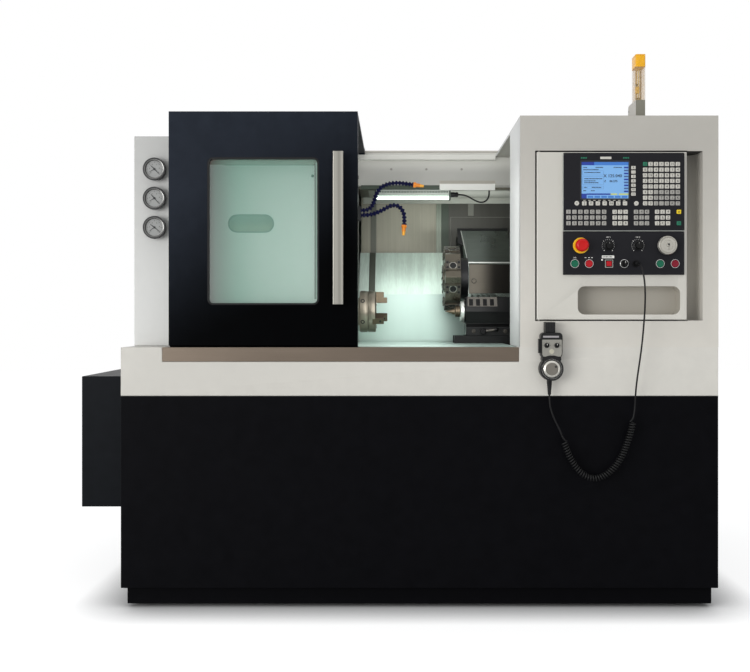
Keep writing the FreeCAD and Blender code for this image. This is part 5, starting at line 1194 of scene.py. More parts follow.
class Track:
    # places and directions by length along a line of points
    def __init__(self, line):
        self.line = line
        self.marks = [0.0]
        for a, b in zip(line, line[1:]):
            self.marks.append(self.marks[-1] + (b - a).length)
        self.length = self.marks[-1]

    def at(self, length):
        length = min(max(length, 0.0), self.length)
        k = min(bisect.bisect_right(self.marks, length), len(self.marks) - 1)
        share = (length - self.marks[k - 1]) / max(self.marks[k] - self.marks[k - 1], 1e-9)
        return self.line[k - 1].lerp(self.line[k], share)

    def way(self, length, reach=0.002):
        return (self.at(length + reach) - self.at(length - reach)).normalized()


def curlPoints(route, look):
    track = Track(splinePoints(route, 12))
    first = look["lead"] + look["swing"]
    span = track.length - 2 * first
    count = look["curls"] * look["stepsPerCurl"]
    side = Vector((0, 1, 0))
    points = []
    for i in range(count + 1):
        length = first + span * i / count
        turn = 2 * math.pi * i / look["stepsPerCurl"]
        up = side.cross(track.way(length))
        points.append(track.at(length) + (up * math.cos(turn) + side * math.sin(turn)) * look["curlRadius"])
    return [track.at(look["lead"])] + points + [track.at(track.length - look["lead"])]


def tubeMesh(name, line, radius, sides):
    # a round tube along a line, turned as little as possible from ring to ring
    bm = bmesh.new()
    rings = []
    side = (line[1] - line[0]).normalized().orthogonal().normalized()
    for i, spot in enumerate(line):
        ahead = (line[min(i + 1, len(line) - 1)] - line[max(i - 1, 0)]).normalized()
        side = (side - ahead * side.dot(ahead)).normalized()
        up = ahead.cross(side)
        rings.append([bm.verts.new(spot + (side * c + up * s) * radius) for c, s in circle(sides)])
    bridge(bm, rings)
    bm.faces.new(rings[0][::-1])
    bm.faces.new(rings[-1])
    mesh = meshOf(name, bm, True)
    mesh.shade_smooth()
    return mesh


def cordPiece(name, line, look, nodes):
    # the cord's tube in rubber, for the nodes that it stands for
    cord = placed(name, tubeMesh(name, line, look["radius"], look["sides"]))
    setSlots(cord, "blackRubber")
    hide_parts(*nodes)
    print(name, "length:", round(Track(line).length, 3))
    return cord


def addControlCord(look):
    line = splinePoints(upperRoute[:-1] + curlPoints(coilRoute, look) + lowerRoute[1:], 3)
    cord = cordPiece("controlCord", line, look, ("cord_upper", "cord_coil", "cord_lower"))
    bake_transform(cord)


addControlCord(cordLook)


# the work lamp's cable, from its plug up into the beam
cableLook = {
    "radius": 0.0035, "sides": 10, "length": 0.19, "level": 1.526, "entry": 0.133, "rise": 0.024,
    "sag": ((0.020, 0), (0.044, -0.008), (0.070, -0.024), (0.094, -0.034), (0.116, -0.030), (0.130, -0.014))}


def addLampCable(look):
    low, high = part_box("lamp_cable")
    start = Vector((low.x, (low.y + high.y) / 2, look["level"]))
    entry = Vector((start.x + look["entry"], start.y, high.z))
    points = [start] + [start + Vector((x, 0, z)) for x, z in look["sag"]]
    line = splinePoints(points + [entry - Vector((0, 0, look["rise"])), entry])
    cable = cordPiece("lampLead", line, look, ("lamp_cable",))
    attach(cable, "machine")


addLampCable(cableLook)


# coolant hoses: links threaded on each route, with an orange nozzle
hoseLook = {
    "y": -0.020, "x": -0.226, "rib": 0.0099, "waist": 0.0060, "flutes": 6, "fluteAt": (0.0100, 0.0020)}
hoseRoutes = {
    "low": {"level": 1.424, "links": 18, "points": (
        (0, 0), (0.024, 0), (0.052, 0.005), (0.080, 0.016), (0.106, 0.031), (0.132, 0.043), (0.158, 0.039),
        (0.176, 0.017), (0.182, -0.012), (0.180, -0.040))},
    "high": {"level": 1.444, "links": 21, "points": (
        (0, 0), (0.022, 0), (0.044, 0.012), (0.056, 0.038), (0.064, 0.068), (0.080, 0.094), (0.106, 0.109),
        (0.142, 0.115), (0.182, 0.112), (0.218, 0.107))}}


def addHose(name, look, route):
    first = name == "low"
    points = [Vector((look["x"] + x, look["y"], route["level"] + z)) for x, z in route["points"]]
    pitch = Track(splinePoints(points)).length / (route["links"] - 1)
    rib, waist = look["rib"], look["waist"]
    bm = bmesh.new()
    addTurned(bm, (0, 0, 0), (0, 0, 1), [(radius, height * pitch) for radius, height in (
        (0, -0.55), (waist * 0.9, -0.55), (waist * 1.08, -0.42), (rib * 0.97, -0.34), (rib, -0.22),
        (rib * 0.99, 0.05), (rib * 0.9, 0.12), (waist, 0.20), (waist * 0.9, 0.45), (0, 0.45))], 24)
    model = placed("hoseLink", meshOf("hoseLink", bm, True))
    curve = splineCurve("hoseRoute", points)
    mesh = grown("hose", linker, bpy.data.meshes.new("hoseHost"), {
        "Route": curve, "Piece": model, "Finish": finishes["hoseBlue"], "Links": route["links"]})
    bpy.data.objects.remove(model)
    bpy.data.objects.remove(curve)
    dressMesh(f"{name}Hose", mesh, "machine", ("hoseBlue",), angle=40,
              stands=("coolant_hoses",) if first else ())
    aim = (points[-1] - points[-2]).normalized()
    bm = bmesh.new()
    addTurned(bm, points[-1], aim, [(0, 0), (0.0095, 0), (0.0110, 0.0015), (0.0110, 0.0105), (0.0098, 0.0120),
                                    (0.0082, 0.0130), (0.0076, 0.0280), (0, 0.0280)], 24, 0)
    for k in range(look["flutes"]):
        side = aim.orthogonal().normalized()
        side.rotate(Matrix.Rotation(2 * math.pi * k / look["flutes"], 3, aim))
        spot = points[-1] + side * look["fluteAt"][0] + aim * look["fluteAt"][1]
        addTurned(bm, spot, aim, drum(0.0016, 0, 0.0080), 8, 0)
    addTurned(bm, points[-1], aim, [(0, 0.0270), (0.0070, 0.0270), (0.0066, 0.0300), (0.0050, 0.0440),
                                    (0.0036, 0.0440), (0.0036, 0.0400), (0, 0.0400)], 24, 1)
    addThing(f"{name}Nozzle", bm, "machine", "nozzle_orange", "nozzleOrange", "nozzleAmber",
             stands=("hose_nozzles",) if first else ())


for name, route in hoseRoutes.items():
    addHose(name, hoseLook, route)


# work lamp: housing with a toothed strip, bright tube, end caps and plug
lampLook = {
    "x": (-0.171, 0.154), "y": (0.094, 0.136), "tube": (1.5125, 0.0072), "top": 1.545, "thick": 0.014,
    "foot": 1.5200, "lip": (0.004, 1.5250), "capFoot": 1.5015, "cap": 0.007, "proud": 0.0005,
    "hanger": (0.020, 0.004, 1.5600), "plugLevel": 1.526, "teeth": 46, "toothHalf": (0.0022, 0.0032),
    "toothY": (-0.0012, 0.0006), "toothLevel": 1.5355, "toothEnd": 0.010, "lightLevel": 1.4985,
    "lightWide": 0.03, "power": 0.22, "tint": (0.90, 1.0, 0.95)}


def addAreaLight(name, place, size, power, tint=(1, 1, 1)):
    data = bpy.data.lights.new(name, "AREA")
    data.shape = "RECTANGLE"
    data.size, data.size_y = size
    data.energy = power
    data.color = tint
    lamp = placed(name, data)
    lamp.location = place
    return lamp


def addLamp(look):
    (left, right), (front, back) = look["x"], look["y"]
    middle, top, proud = (front + back) / 2, look["top"], look["proud"]
    level, radius = look["tube"]
    under = top - look["thick"]
    bm = bmesh.new()
    addBar(bm, look["x"], look["y"], (under, top), 0)
    addBar(bm, look["x"], (front + 0.006, back - 0.006), (look["foot"], under), 0)
    addBar(bm, look["x"], (front, front + look["lip"][0]), (look["lip"][1], under), 0)
    for span in ((left - proud, left + look["cap"]), (right - look["cap"], right + proud)):
        addBar(bm, span, (front - proud, back), (look["capFoot"], top + proud), 1)
    end, half, roof = look["hanger"]
    addBar(bm, (left + end, right - end), (middle - half, middle + half), (top, roof), 0)
    addTurned(bm, (right, middle, look["plugLevel"]), (1, 0, 0),
              [(0, 0), (0.0110, 0), (0.0110, 0.0180), (0.0095, 0.0190), (0.0095, 0.0215), (0.0108, 0.0225),
               (0.0108, 0.0300), (0.0080, 0.0340), (0, 0.0340)], 32, 2)
    addThing("lampHousing", bm, "machine", "lamp_metal", "lampSteel", "lampCap", "boltBlack", bevel=0.0006,
             stands=("work_lamp",))
    bm = bmesh.new()
    length = right - left - 0.012
    addTurned(bm, (left + 0.006, middle, level), (1, 0, 0), [
        (0, 0), (radius - 0.001, 0), (radius, 0.001), (radius, length - 0.001), (radius - 0.001, length),
        (0, length)], 24, 0)
    addThing("lampTube", bm, "machine", "lamp_metal", "lampGlow")
    bm = bmesh.new()
    wide, tall = look["toothHalf"]
    addBar(bm, (-wide, wide), look["toothY"], (-tall, tall))
    step = (right - left - 2 * look["toothEnd"]) / look["teeth"]
    places = [((left + look["toothEnd"] + step * (i + 0.5), front, look["toothLevel"]), facing["front"])
              for i in range(look["teeth"])]
    repeatPiece("lampTeeth", bm, places, "machine", "lampCap")
    addAreaLight("tubeLight", ((left + right) / 2, middle, look["lightLevel"]),
                 (right - left, look["lightWide"]), look["power"], look["tint"])


addLamp(lampLook)


# sheets, posts and brackets on the walls of the machining space; the beam's lip is lighter as painted light,
# the strip along the lamp is a painted shadow, and the beam's groove is painted shade
wallPieces = (
    # name, slot, finish, soft edge, low and high corner
    ("beamLip", "white_paint", "lipPaint", 0.0008, (0.1060, 0.0785, 1.5415), (0.3430, 0.0900, 1.5685)),
    ("lampShadow", "brushed_steel", "linerMoss", 0.0, (-0.2290, 0.0785, 1.5440), (0.1055, 0.0815, 1.5620)),
    ("beamSeam", "white_paint", "trayPaint", 0.0, (0.1060, 0.0792, 1.5687), (0.3430, 0.0810, 1.5815)),
    ("floorSheet", "brushed_steel", "linerBright", 0.0, (-0.2320, -0.7000, 0.8955), (0.3380, 0.0750, 0.8968)))
wallSheets = (
    # place among the finishes, low and high corner
    # the strip at the left stands for the shaded face of a step: painted shade
    (0, (-0.1970, 0.4265, 1.2890), (-0.1700, 0.4303, 1.5515)),
    (1, (0.1060, 0.4283, 1.2890), (0.1300, 0.4303, 1.5515)),
    (6, (0.1300, 0.4258, 1.2950), (0.1640, 0.4275, 1.5235)),
    (2, (0.1300, 0.4262, 1.3050), (0.7000, 0.4303, 1.5515)),
    (4, (0.1715, 0.4250, 1.3050), (0.1740, 0.4264, 1.4615)),
    (4, (0.1715, 0.4250, 1.4590), (0.7000, 0.4264, 1.4615)),
    (4, (0.2530, 0.4240, 1.4670), (0.2790, 0.4264, 1.5220)),
    # the band along the top of the back wall and the ceiling sheet are painted pale as painted light, with
    # the ceiling lamp adding real light
    (5, (-0.2300, 0.4230, 1.5230), (0.7000, 0.4303, 1.5515)),
    (5, (-0.2000, 0.1540, 1.5480), (0.7000, 0.4232, 1.5500)))
slopeLook = {
    "foot": (0.0998, 1.0976), "x": (-0.1970, -0.1700), "length": (0.002, 0.266), "depth": (-0.001, 0.003)}
wallScrews = {"y": 0.4262, "x": (0.19, 0.32, 0.45), "z": (1.320, 1.540)}


def addWallDetail():
    for name, slot, coat, bevel, low, high in wallPieces:
        bm = bmesh.new()
        addBlock(bm, low, high)
        addThing(name, bm, "machine", slot, coat, bevel=bevel)
    bm = bmesh.new()
    for slot, low, high in wallSheets:
        addBlock(bm, low, high, slot)
    addThing("wallSheets", bm, "machine", "brushed_steel", "linerDark", "linerSheen", "linerShade",
             "seamShade", "linerPlate", "linerPale", "linerMoss", bevel=0.0006)
    # the strip on the slope carries the same painted shade
    bm = bmesh.new()
    up = Vector((0, 1, 1)).normalized()
    addSlab(bm, Vector((0, *slopeLook["foot"])), up, strip(*slopeLook["x"], *slopeLook["length"]),
            *slopeLook["depth"])
    addThing("slopeStrip", bm, "machine", "brushed_steel", "linerDark", bevel=0.0006)
    places = [(x, wallScrews["y"], z) for x in wallScrews["x"] for z in wallScrews["z"]]
    addScrews("wallScrews", "machine", "boltSteel", places, "front", 0.005, 0.002)


addWallDetail()


# turret housing: its front cover with edge strips and filler plug, and a slanted sheet beside it
housingLook = {
    "left": 0.214, "foot": (-0.188, 1.022), "ridge": (0.221, 0.068), "chin": (0.097, -0.056),
    "edge": (-0.0798, 1.2264), "climb": 0.2115, "topStrip": 0.006, "sunk": 0.0040,
    "strips": (((0.006, 0.174), (0.046, -0.010), 0.0016, 0), ((0, 0.180), (None, 0), 0.0022, 1),
               ((0, 0.004), (0.044, 0), 0.0022, 1))}


def addHousingDetail(look):
    left, climb, sunk = look["left"], look["climb"], -look["sunk"]
    way, out = Vector((0, 0.70711, 0.70711)), Vector((0, -0.70711, 0.70711))
    foot = Vector((0, *look["foot"]))
    ridge, chin = [foot + way * look[key][0] + out * look[key][1] for key in ("ridge", "chin")]
    fall = (ridge - chin).normalized()
    span = (ridge - chin).length
    face = Vector((0, -fall.z, fall.y))
    bm = bmesh.new()
    for (x0, x1), (start, end), rise, slot in look["strips"]:
        start = span - look["topStrip"] if start is None else start
        addSlab(bm, chin, fall, strip(left + x0, left + x1, start, span + end), -0.001, rise, slot)
    # the sheet has a bright and a black edge
    edge = Vector((0, *look["edge"]))
    for rise, slot, points in (
            (0.0002, 3, ((0, 0), (0, climb), (-0.0200, climb))),
            (0.0012, 1, ((0.0022, 0), (-0.0178, climb), (-0.0215, climb), (-0.0008, 0))),
            (0.0002, 2, ((-0.0120, 0.100), (-0.0217, climb), (-0.0340, climb), (-0.0340, 0.120))),
            (0.0014, 2, strip(-0.0340, 0.180, climb - 0.014, climb + 0.0004))):
        addSlab(bm, edge, way, [(left + x, s) for x, s in points], sunk, rise, slot)
    x, z = fillerPlug["x"], fillerPlug["z"]
    spot = Vector((x, 0, 0)) + chin + fall * ((z - chin.z) / fall.z) + face * 0.0016
    addTurned(bm, spot, face, [(0, 0), (0.0105, 0), (0.0100, 0.0018), (0, 0.0018)], 28, 2)
    addThing("housingCover", bm, "cross_slide", "cast_iron", "coverSteel", "edgeSteel", "boltBlack",
             "slideSteel", bevel=0.0005)


addHousingDetail(housingLook)
print("machining space made")


# control unit: black plate with a framed screen and its keys
unitLook = {
    "x": (0.4915, 0.9055), "z": (1.2955, 1.5615), "y": (-0.7500, -0.7600), "lift": 0.0016,
    "screenX": (0.5535, 0.7145), "screenZ": (1.4055, 1.5305), "key": (0.015, 0.014),
    "soft": 0.0112, "rim": 0.005, "round": ((0.046, 0.0935, "+"), (0.2495, 0.0930, "-")),
    "glyphs": "1234567890XYZFSTMGHKLPRUWIJN+-*/=.<>()[]&#%", "lamps": (0.060, 0.204), "plate": (0.126, 0.164),
    "lampLevel": 0.2485, "dashes": 9}


def keyCap(width, height, lift):
    # a soft square key whose back lies on the plate
    bm = bmesh.new()
    rows = []
    for shrink, y in ((0.0, 0.0002), (0.0, -lift * 0.6), (0.0006, -lift * 0.9), (0.0014, -lift)):
        outline = roundOutline((shrink, width - shrink), (shrink, height - shrink), 0.0018, 3)
        rows.append([bm.verts.new((x, y, z)) for x, z in outline])
    bridge(bm, rows)
    bm.faces.new(rows[0][::-1])
    bm.faces.new(rows[-1])
    return bm


def keyPlaces():
    # the lower left corner of every key from the corner of the unit, by colour
    places = {"keyPale": [], "keyGrey": [], "keyYellow": [], "keyGreen": []}
    for row in range(8):
        for column in range(7):
            coat = "keyGrey" if column > 1 and row < 3 else "keyPale"
            if (row, column) == (7, 0):
                coat = "keyGreen"
            places[coat].append((0.272 + 0.0186 * column, 0.086 + 0.0192 * row))
    for row in range(3):
        for first, count, pitch, coat in ((0.010, 7, 0.0203, "keyGrey"), (0.168, 3, 0.0186, "keyPale"),
                                          (0.241, 3, 0.0186, "keyGrey"), (0.313, 3, 0.0186, "keyPale")):
            for column in range(count):
                places[coat].append((first + column * pitch, 0.018 + 0.0196 * row))
    for column in range(7):
        places["keyPale"].append((0.0640 + column * 0.0232, 0.086))
    places["softKey"] = [(0.232, 0.1190 + row * 0.0151) for row in range(7)]
    places["keyYellow"].append((0.272 + 6.2 * 0.0186, 0.018 + 2 * 0.0196))
    places["keyGreen"].append((0.272 + 6.2 * 0.0186, 0.018))
    return places


def addUnit(look):
    back, front = look["y"]
    left, low = look["x"][0], look["z"][0]
    bm = bmesh.new()
    inner = roundOutline(look["screenX"], look["screenZ"], 0.002)
    addRing(bm, roundOutline(look["x"], look["z"], 0.004), inner, back, front)
    addPlate(bm, roundOutline(look["screenX"], look["screenZ"], 0.001), back, front + 0.0041)
    rim = roundOutline(wider(look["screenX"], look["rim"]), wider(look["screenZ"], look["rim"]), look["rim"])
    addRing(bm, rim, inner, front + 0.0002, front - 0.0008, 1)
    addBar(bm, look["x"], (front - 0.0004, back), (low - 0.0016, low + 0.0004), 2)
    addBar(bm, (left - 0.0012, left + 0.0002), (front - 0.0002, back), look["z"], 2)
    addThing("controlPlate", bm, "swing_box", "black_plastic", "panelBlack", "inkBlack", "edgeSteel",
             bevel=0.0006, stands=("control_unit",))

    width, height = look["key"]
    picks = random.Random(7)
    marks = bmesh.new()
    for coat, spots in keyPlaces().items():
        corners = [Vector((left + x, front, low + z)) for x, z in spots]
        places = [(corner, facing["front"]) for corner in corners]
        soft = coat == "softKey"
        tall, letter = (look["soft"], 0.0090) if soft else (height, 0.0120)
        repeatPiece(coat + "Caps", keyCap(width, tall, look["lift"]), places, "swing_box",
                    "keyPale" if soft else coat, 60)
        for corner in corners:
            mark = look["glyphs"][picks.randrange(len(look["glyphs"]))]
            spot = corner + Vector((width / 2, 0.0001 - look["lift"], tall / 2))
            addText(marks, mark, letter, spot, 0, 0.0002)
    for x, z, words in look["round"]:
        centre = (left + x, front, low + z)
        addTurned(marks, centre, outward, [
            (0, -0.0004), (0.0078, -0.0004), (0.0078, 0.0010), (0.0070, 0.0015), (0, 0.0015)], 28, 1)
        addText(marks, words, 0.010, Vector(centre) + Vector((0, -0.0014, 0)), 0, 0.0002)
    # status lamps in threes on both sides of a pale plate, and a row of pale dashes over the lower keys
    z = low + look["lampLevel"]
    x0, x1 = look["plate"]
    addLampRow(marks, left + look["lamps"][0], front, z)
    addBar(marks, (left + x0, left + x1), (front - 0.0005, front + 0.0002), (z - 0.004, z + 0.004), 1)
    addLampRow(marks, left + look["lamps"][1], front, z)
    for i in range(look["dashes"]):
        x = left + 0.068 + i * 0.017
        addBar(marks, (x, x + 0.008), (front - 0.0004, front + 0.0002), (low + 0.1025, low + 0.1045), 1)
    addThing("keyMarks", marks, "swing_box", "black_plastic", "inkBlack", "keyPale", "keyGreen")
    corners = [(x, front, z) for x in wider(look["x"], -0.005) for z in wider(look["z"], -0.006)]
    addScrews("unitScrews", "swing_box", "boltBlack", corners, "front", 0.0028, 0.0012)


def addLampRow(bm, left, front, level):
    for i in range(3):
        x = left + i * 0.0075
        addBar(bm, (x, x + 0.0055), (front - 0.0004, front + 0.0002), (level - 0.0025, level + 0.0025), 2)


addUnit(unitLook)


# the screen: pale blue field with a title bar, tabs, rows of marks and large figures
screenLook = {
    "bars": [(0.0, 0.27, 0.0, 0.09, 2), (0.27, 1.0, 0.0, 0.09, 1)]
    + [(0.905, 0.995, 0.13 + i * 0.082, 0.175 + i * 0.082, 2 if i % 2 == 0 else 4) for i in range(9)]
    + [(0.0, 0.11, 0.87, 1.0, 2), (0.11, 0.62, 0.865, 0.905, 2), (0.62, 0.76, 0.865, 0.905, 3),
       (0.80, 1.0, 0.865, 0.905, 3)]
    + [(0.13 + i * 0.145, 0.25 + i * 0.145, 0.93, 0.985, 1) for i in range(6)],
    "frames": ((0.24, 0.36), (0.40, 0.62), (0.66, 0.74)), "frameX": (0.02, 0.47),
    "lines": ((0.15, ((0.04, 0.12), (0.30, 0.46), (0.68, 0.86))), (0.21, ((0.04, 0.36),)),
              (0.29, ((0.06, 0.40),)), (0.46, ((0.06, 0.44),)), (0.52, ((0.06, 0.30),)),
              (0.57, ((0.06, 0.36),)), (0.70, ((0.05, 0.12), (0.22, 0.42))),
              (0.79, ((0.04, 0.10), (0.20, 0.28)))),
    "figures": (("X", 0.015, 0.50, 0.385), ("125.040", 0.015, 0.71, 0.385), ("Z", 0.010, 0.50, 0.530),
                ("86.275", 0.010, 0.68, 0.530))}


def addScreen(look):
    low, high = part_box("display")
    bm = bmesh.new()
    addBlock(bm, low, high, 0)
    width, height = high.x - low.x, high.z - low.z
    front = low.y

    def spans(u0, u1, v0, v1):
        # a field by its share of the screen from the top left corner
        return (low.x + u0 * width, low.x + u1 * width), (high.z - v1 * height, high.z - v0 * height)

    def bar(u0, u1, v0, v1, slot):
        x, z = spans(u0, u1, v0, v1)
        addBar(bm, x, (front - 0.0003, front + 0.0001), z, slot)

    for row in look["bars"]:
        bar(*row)
    for v0, v1 in look["frames"]:
        x, z = spans(*look["frameX"], v0, v1)
        inner = roundOutline(wider(x, -0.0004), wider(z, -0.0004), 0.0006, 2)
        addRing(bm, roundOutline(x, z, 0.001, 2), inner, front + 0.0001, front - 0.0003, 4)
    picks = random.Random(11)
    for v, words in look["lines"]:
        for u, end in words:
            while u < end:
                step = 0.008 + picks.random() * 0.02
                bar(u, min(u + step, end), v - 0.012, v + 0.012, 5)
                u += step + 0.006
    for words, size, across, down in look["figures"]:
        for nudge in (0.0, 0.0005):
            spot = Vector((low.x + across * width + nudge, front - 0.0001 - nudge * 0.1,
                           high.z - down * height))
            addText(bm, words, size, spot, 5)
    addThing("screenPicture", bm, "swing_box", "screen_glass", "screenField", "screenBar", "screenNavy",
             "screenYellow", "screenSlate", "screenInk", stands=("display",))


addScreen(screenLook)
print("control unit made")


# operator panel: plate with wells, chromed button rings, scales, plates
panelLook = {
    "x": 0.4915, "front": -0.758, "upper": 1.2445, "lower": 1.1825, "stop": 0.060, "knobs": (0.154, 0.255),
    "wheel": 0.353, "key": 0.208, "gland": 0.249, "marks": 16, "start": 230, "sweep": 280,
    "buttons": {"start": 0.039, "halt": 0.088, "reset": 0.156, "clamp": 0.331, "light": 0.382},
    "long": ((0.0200, 0.0238), 0.0009), "short": ((0.0200, 0.0222), 0.0005), "square": (0.0136, 0.0116),
    "words": 7, "dashes": (-0.012, 0, 0.010),
    "squareCap": ((0.0086, 0.0014, -0.0050), (0.0074, -0.0050, -0.0059)), "screwX": (0.006, 0.408),
    "screwZ": (1.1515, 1.2855)}


def panelSpot(look, across, level):
    return Vector((look["x"] + across, look["front"], look[level]))


def addPanel(look):
    left, front, buttons = look["x"], look["front"], look["buttons"]
    dress("operator_panel", "operatorPlate", ("panelBlack",), 0.0008)
    bm = bmesh.new()
    addHoop(bm, (0, 0, 0), outward, [
        (0.0129, 0.0), (0.0153, 0.0), (0.0153, 0.0022), (0.0145, 0.0034), (0.0136, 0.0034),
        (0.0129, 0.0028)], 40)
    places = [(panelSpot(look, across, "lower"), facing["front"])
              for name, across in buttons.items() if name != "reset"]
    repeatPiece("buttonRings", bm, places, "swing_box", "chromeRim")

    bm = bmesh.new()
    addTurned(bm, panelSpot(look, look["stop"], "upper"), outward, [
        (0, 0.0001), (0.027, 0.0001), (0.027, 0.0024), (0.0262, 0.0031), (0.0170, 0.0031), (0.0165, 0.0026),
        (0, 0.0026)], 64, 0)
    for across in look["knobs"]:
        centre = panelSpot(look, across, "upper")
        addTurned(bm, centre, outward, [(0, 0), (0.0180, 0), (0.0178, 0.0006), (0, 0.0006)], 40, 1)
        for i in range(look["marks"]):
            reach, half = look["long" if i % 5 == 0 else "short"]
            angle = math.radians(look["start"] - i * look["sweep"] / (look["marks"] - 1))
            addMark(bm, centre, angle, reach, half, (front + 0.0002, front - 0.0004), 2)
        addText(bm, "100 %", 0.0066, centre + Vector((0, -0.0001, 0.0285)), 2)
    # the square button's frame, its pale plate with words and a small lamp
    x, z = left + buttons["reset"], look["lower"]
    half, hole = look["square"]
    addRing(bm, roundOutline((x - half, x + half), (z - half, z + half), 0.002),
            roundOutline((x - hole, x + hole), (z - hole, z + hole), 0.001), front - 0.0001,
            front - 0.0040, 3)
    plate = roundOutline((x - 0.0240, x + 0.0180), (z + 0.0185, z + 0.0280), 0.001)
    addPlate(bm, plate, front + 0.0002, front - 0.0010, 2)
    for i in range(look["words"]):
        start = x - 0.0205 + 0.0048 * i
        addBar(bm, (start, start + 0.0020 + 0.0009 * (i % 3)), (front - 0.0013, front - 0.0006),
               (z + 0.0215, z + 0.0250), 4)
    addTurned(bm, (x - 0.0235, front, z + 0.0130), outward, [
        (0, -0.0002), (0.0030, -0.0002), (0.0030, 0.0008), (0, 0.0014)], 20, 2)
    for nudge in look["dashes"]:
        x = left + buttons["halt"] + nudge
        addBar(bm, (x - 0.003, x + 0.003), (front - 0.0004, front + 0.0002), (z + 0.0195, z + 0.0215), 2)
    addText(bm, "ON", 0.0070, Vector((left + buttons["start"], front - 0.0001, z + 0.0205)), 2)
    addThing("panelLegends", bm, "swing_box", "legend", "stopYellow", "panelBlack", "legendWhite", "keyGrey",
             "inkBlack", stands=("legend_plates",))
    spots = [(left + x, front, z) for x in look["screwX"] for z in look["screwZ"]]
    addScrews("panelScrews", "swing_box", "boltBlack", spots, "front", 0.0034, 0.0016)


addPanel(panelLook)


def addCap(name, body, coat, slot, key, look):
    # a lens cap in its well, with a raised rim and a dished middle; one is square
    centre = panelSpot(look, look["buttons"][key], "lower")
    bm = bmesh.new()
    square = key == "reset"
    if square:
        for half, back, fore in look["squareCap"]:
            outline = roundOutline(wider((centre.x, centre.x), half), wider((centre.z, centre.z), half),
                                   0.0012)
            addPlate(bm, outline, centre.y + back, centre.y + fore)
    else:
        addTurned(bm, centre, outward, [
            (0, -0.0014), (0.0122, -0.0014), (0.0122, 0.0040), (0.0115, 0.0056), (0.0104, 0.0060),
            (0.0094, 0.0052), (0.0050, 0.0049), (0, 0.0048)], 48)
    addThing(name, bm, body, slot, coat, bevel=0.0004 if square else 0.0, stands=(name,))


capRows = (("start_button", "start_cap", "lensGreen", "green_plastic", "start"),
           ("halt_button", "halt_cap", "lensRed", "red_plastic", "halt"),
           ("reset_button", "reset_cap", "lensRed", "red_plastic", "reset"),
           ("clamp_button", "clamp_cap", "lensGreen", "green_plastic", "clamp"),
           ("light_button", "light_cap", "lensCrimson", "red_plastic", "light"))
for row in capRows:
    addCap(*row, panelLook)


def addKnob(node, body, across, look):
    # a grip knob with flutes, a skirt and a pale pointer
    centre = panelSpot(look, across, "upper")
    bm = bmesh.new()
    rings = []
    for radius, height, flute in (
            (0.0168, 0.0010, 0.0), (0.0170, 0.0015, 0.0), (0.0168, 0.0048, 0.0), (0.0135, 0.0065, 0.0004),
            (0.0122, 0.0075, 0.0008), (0.0114, 0.0190, 0.0008), (0.0104, 0.0202, 0.0004)):
        reach = [radius + flute * math.cos(16 * 2 * math.pi * k / 96) for k in range(96)]
        rings.append([bm.verts.new(centre + Vector((r * c, -height, r * s)))
                      for r, (c, s) in zip(reach, circle(96))])
    bridge(bm, rings)
    bm.faces.new(rings[0])
    bm.faces.new(rings[-1][::-1])
    addPointer(bm, centre, (0.0209, 0.0200), (0.0060, 0.0098), 1)
    addThing(node, bm, body, "black_plastic", "knobBlack", "keyGrey", stands=(node,))


def addPointer(bm, centre, depth, level, slot, half=0.0006):
    # a raised line on a knob's face
    addBar(bm, (centre.x - half, centre.x + half), [centre.y - y for y in depth],
           [centre.z + z for z in level], slot)


addKnob("spindle_knob", "spindle_override", panelLook["knobs"][0], panelLook)
addKnob("feed_knob", "feed_override", panelLook["knobs"][1], panelLook)


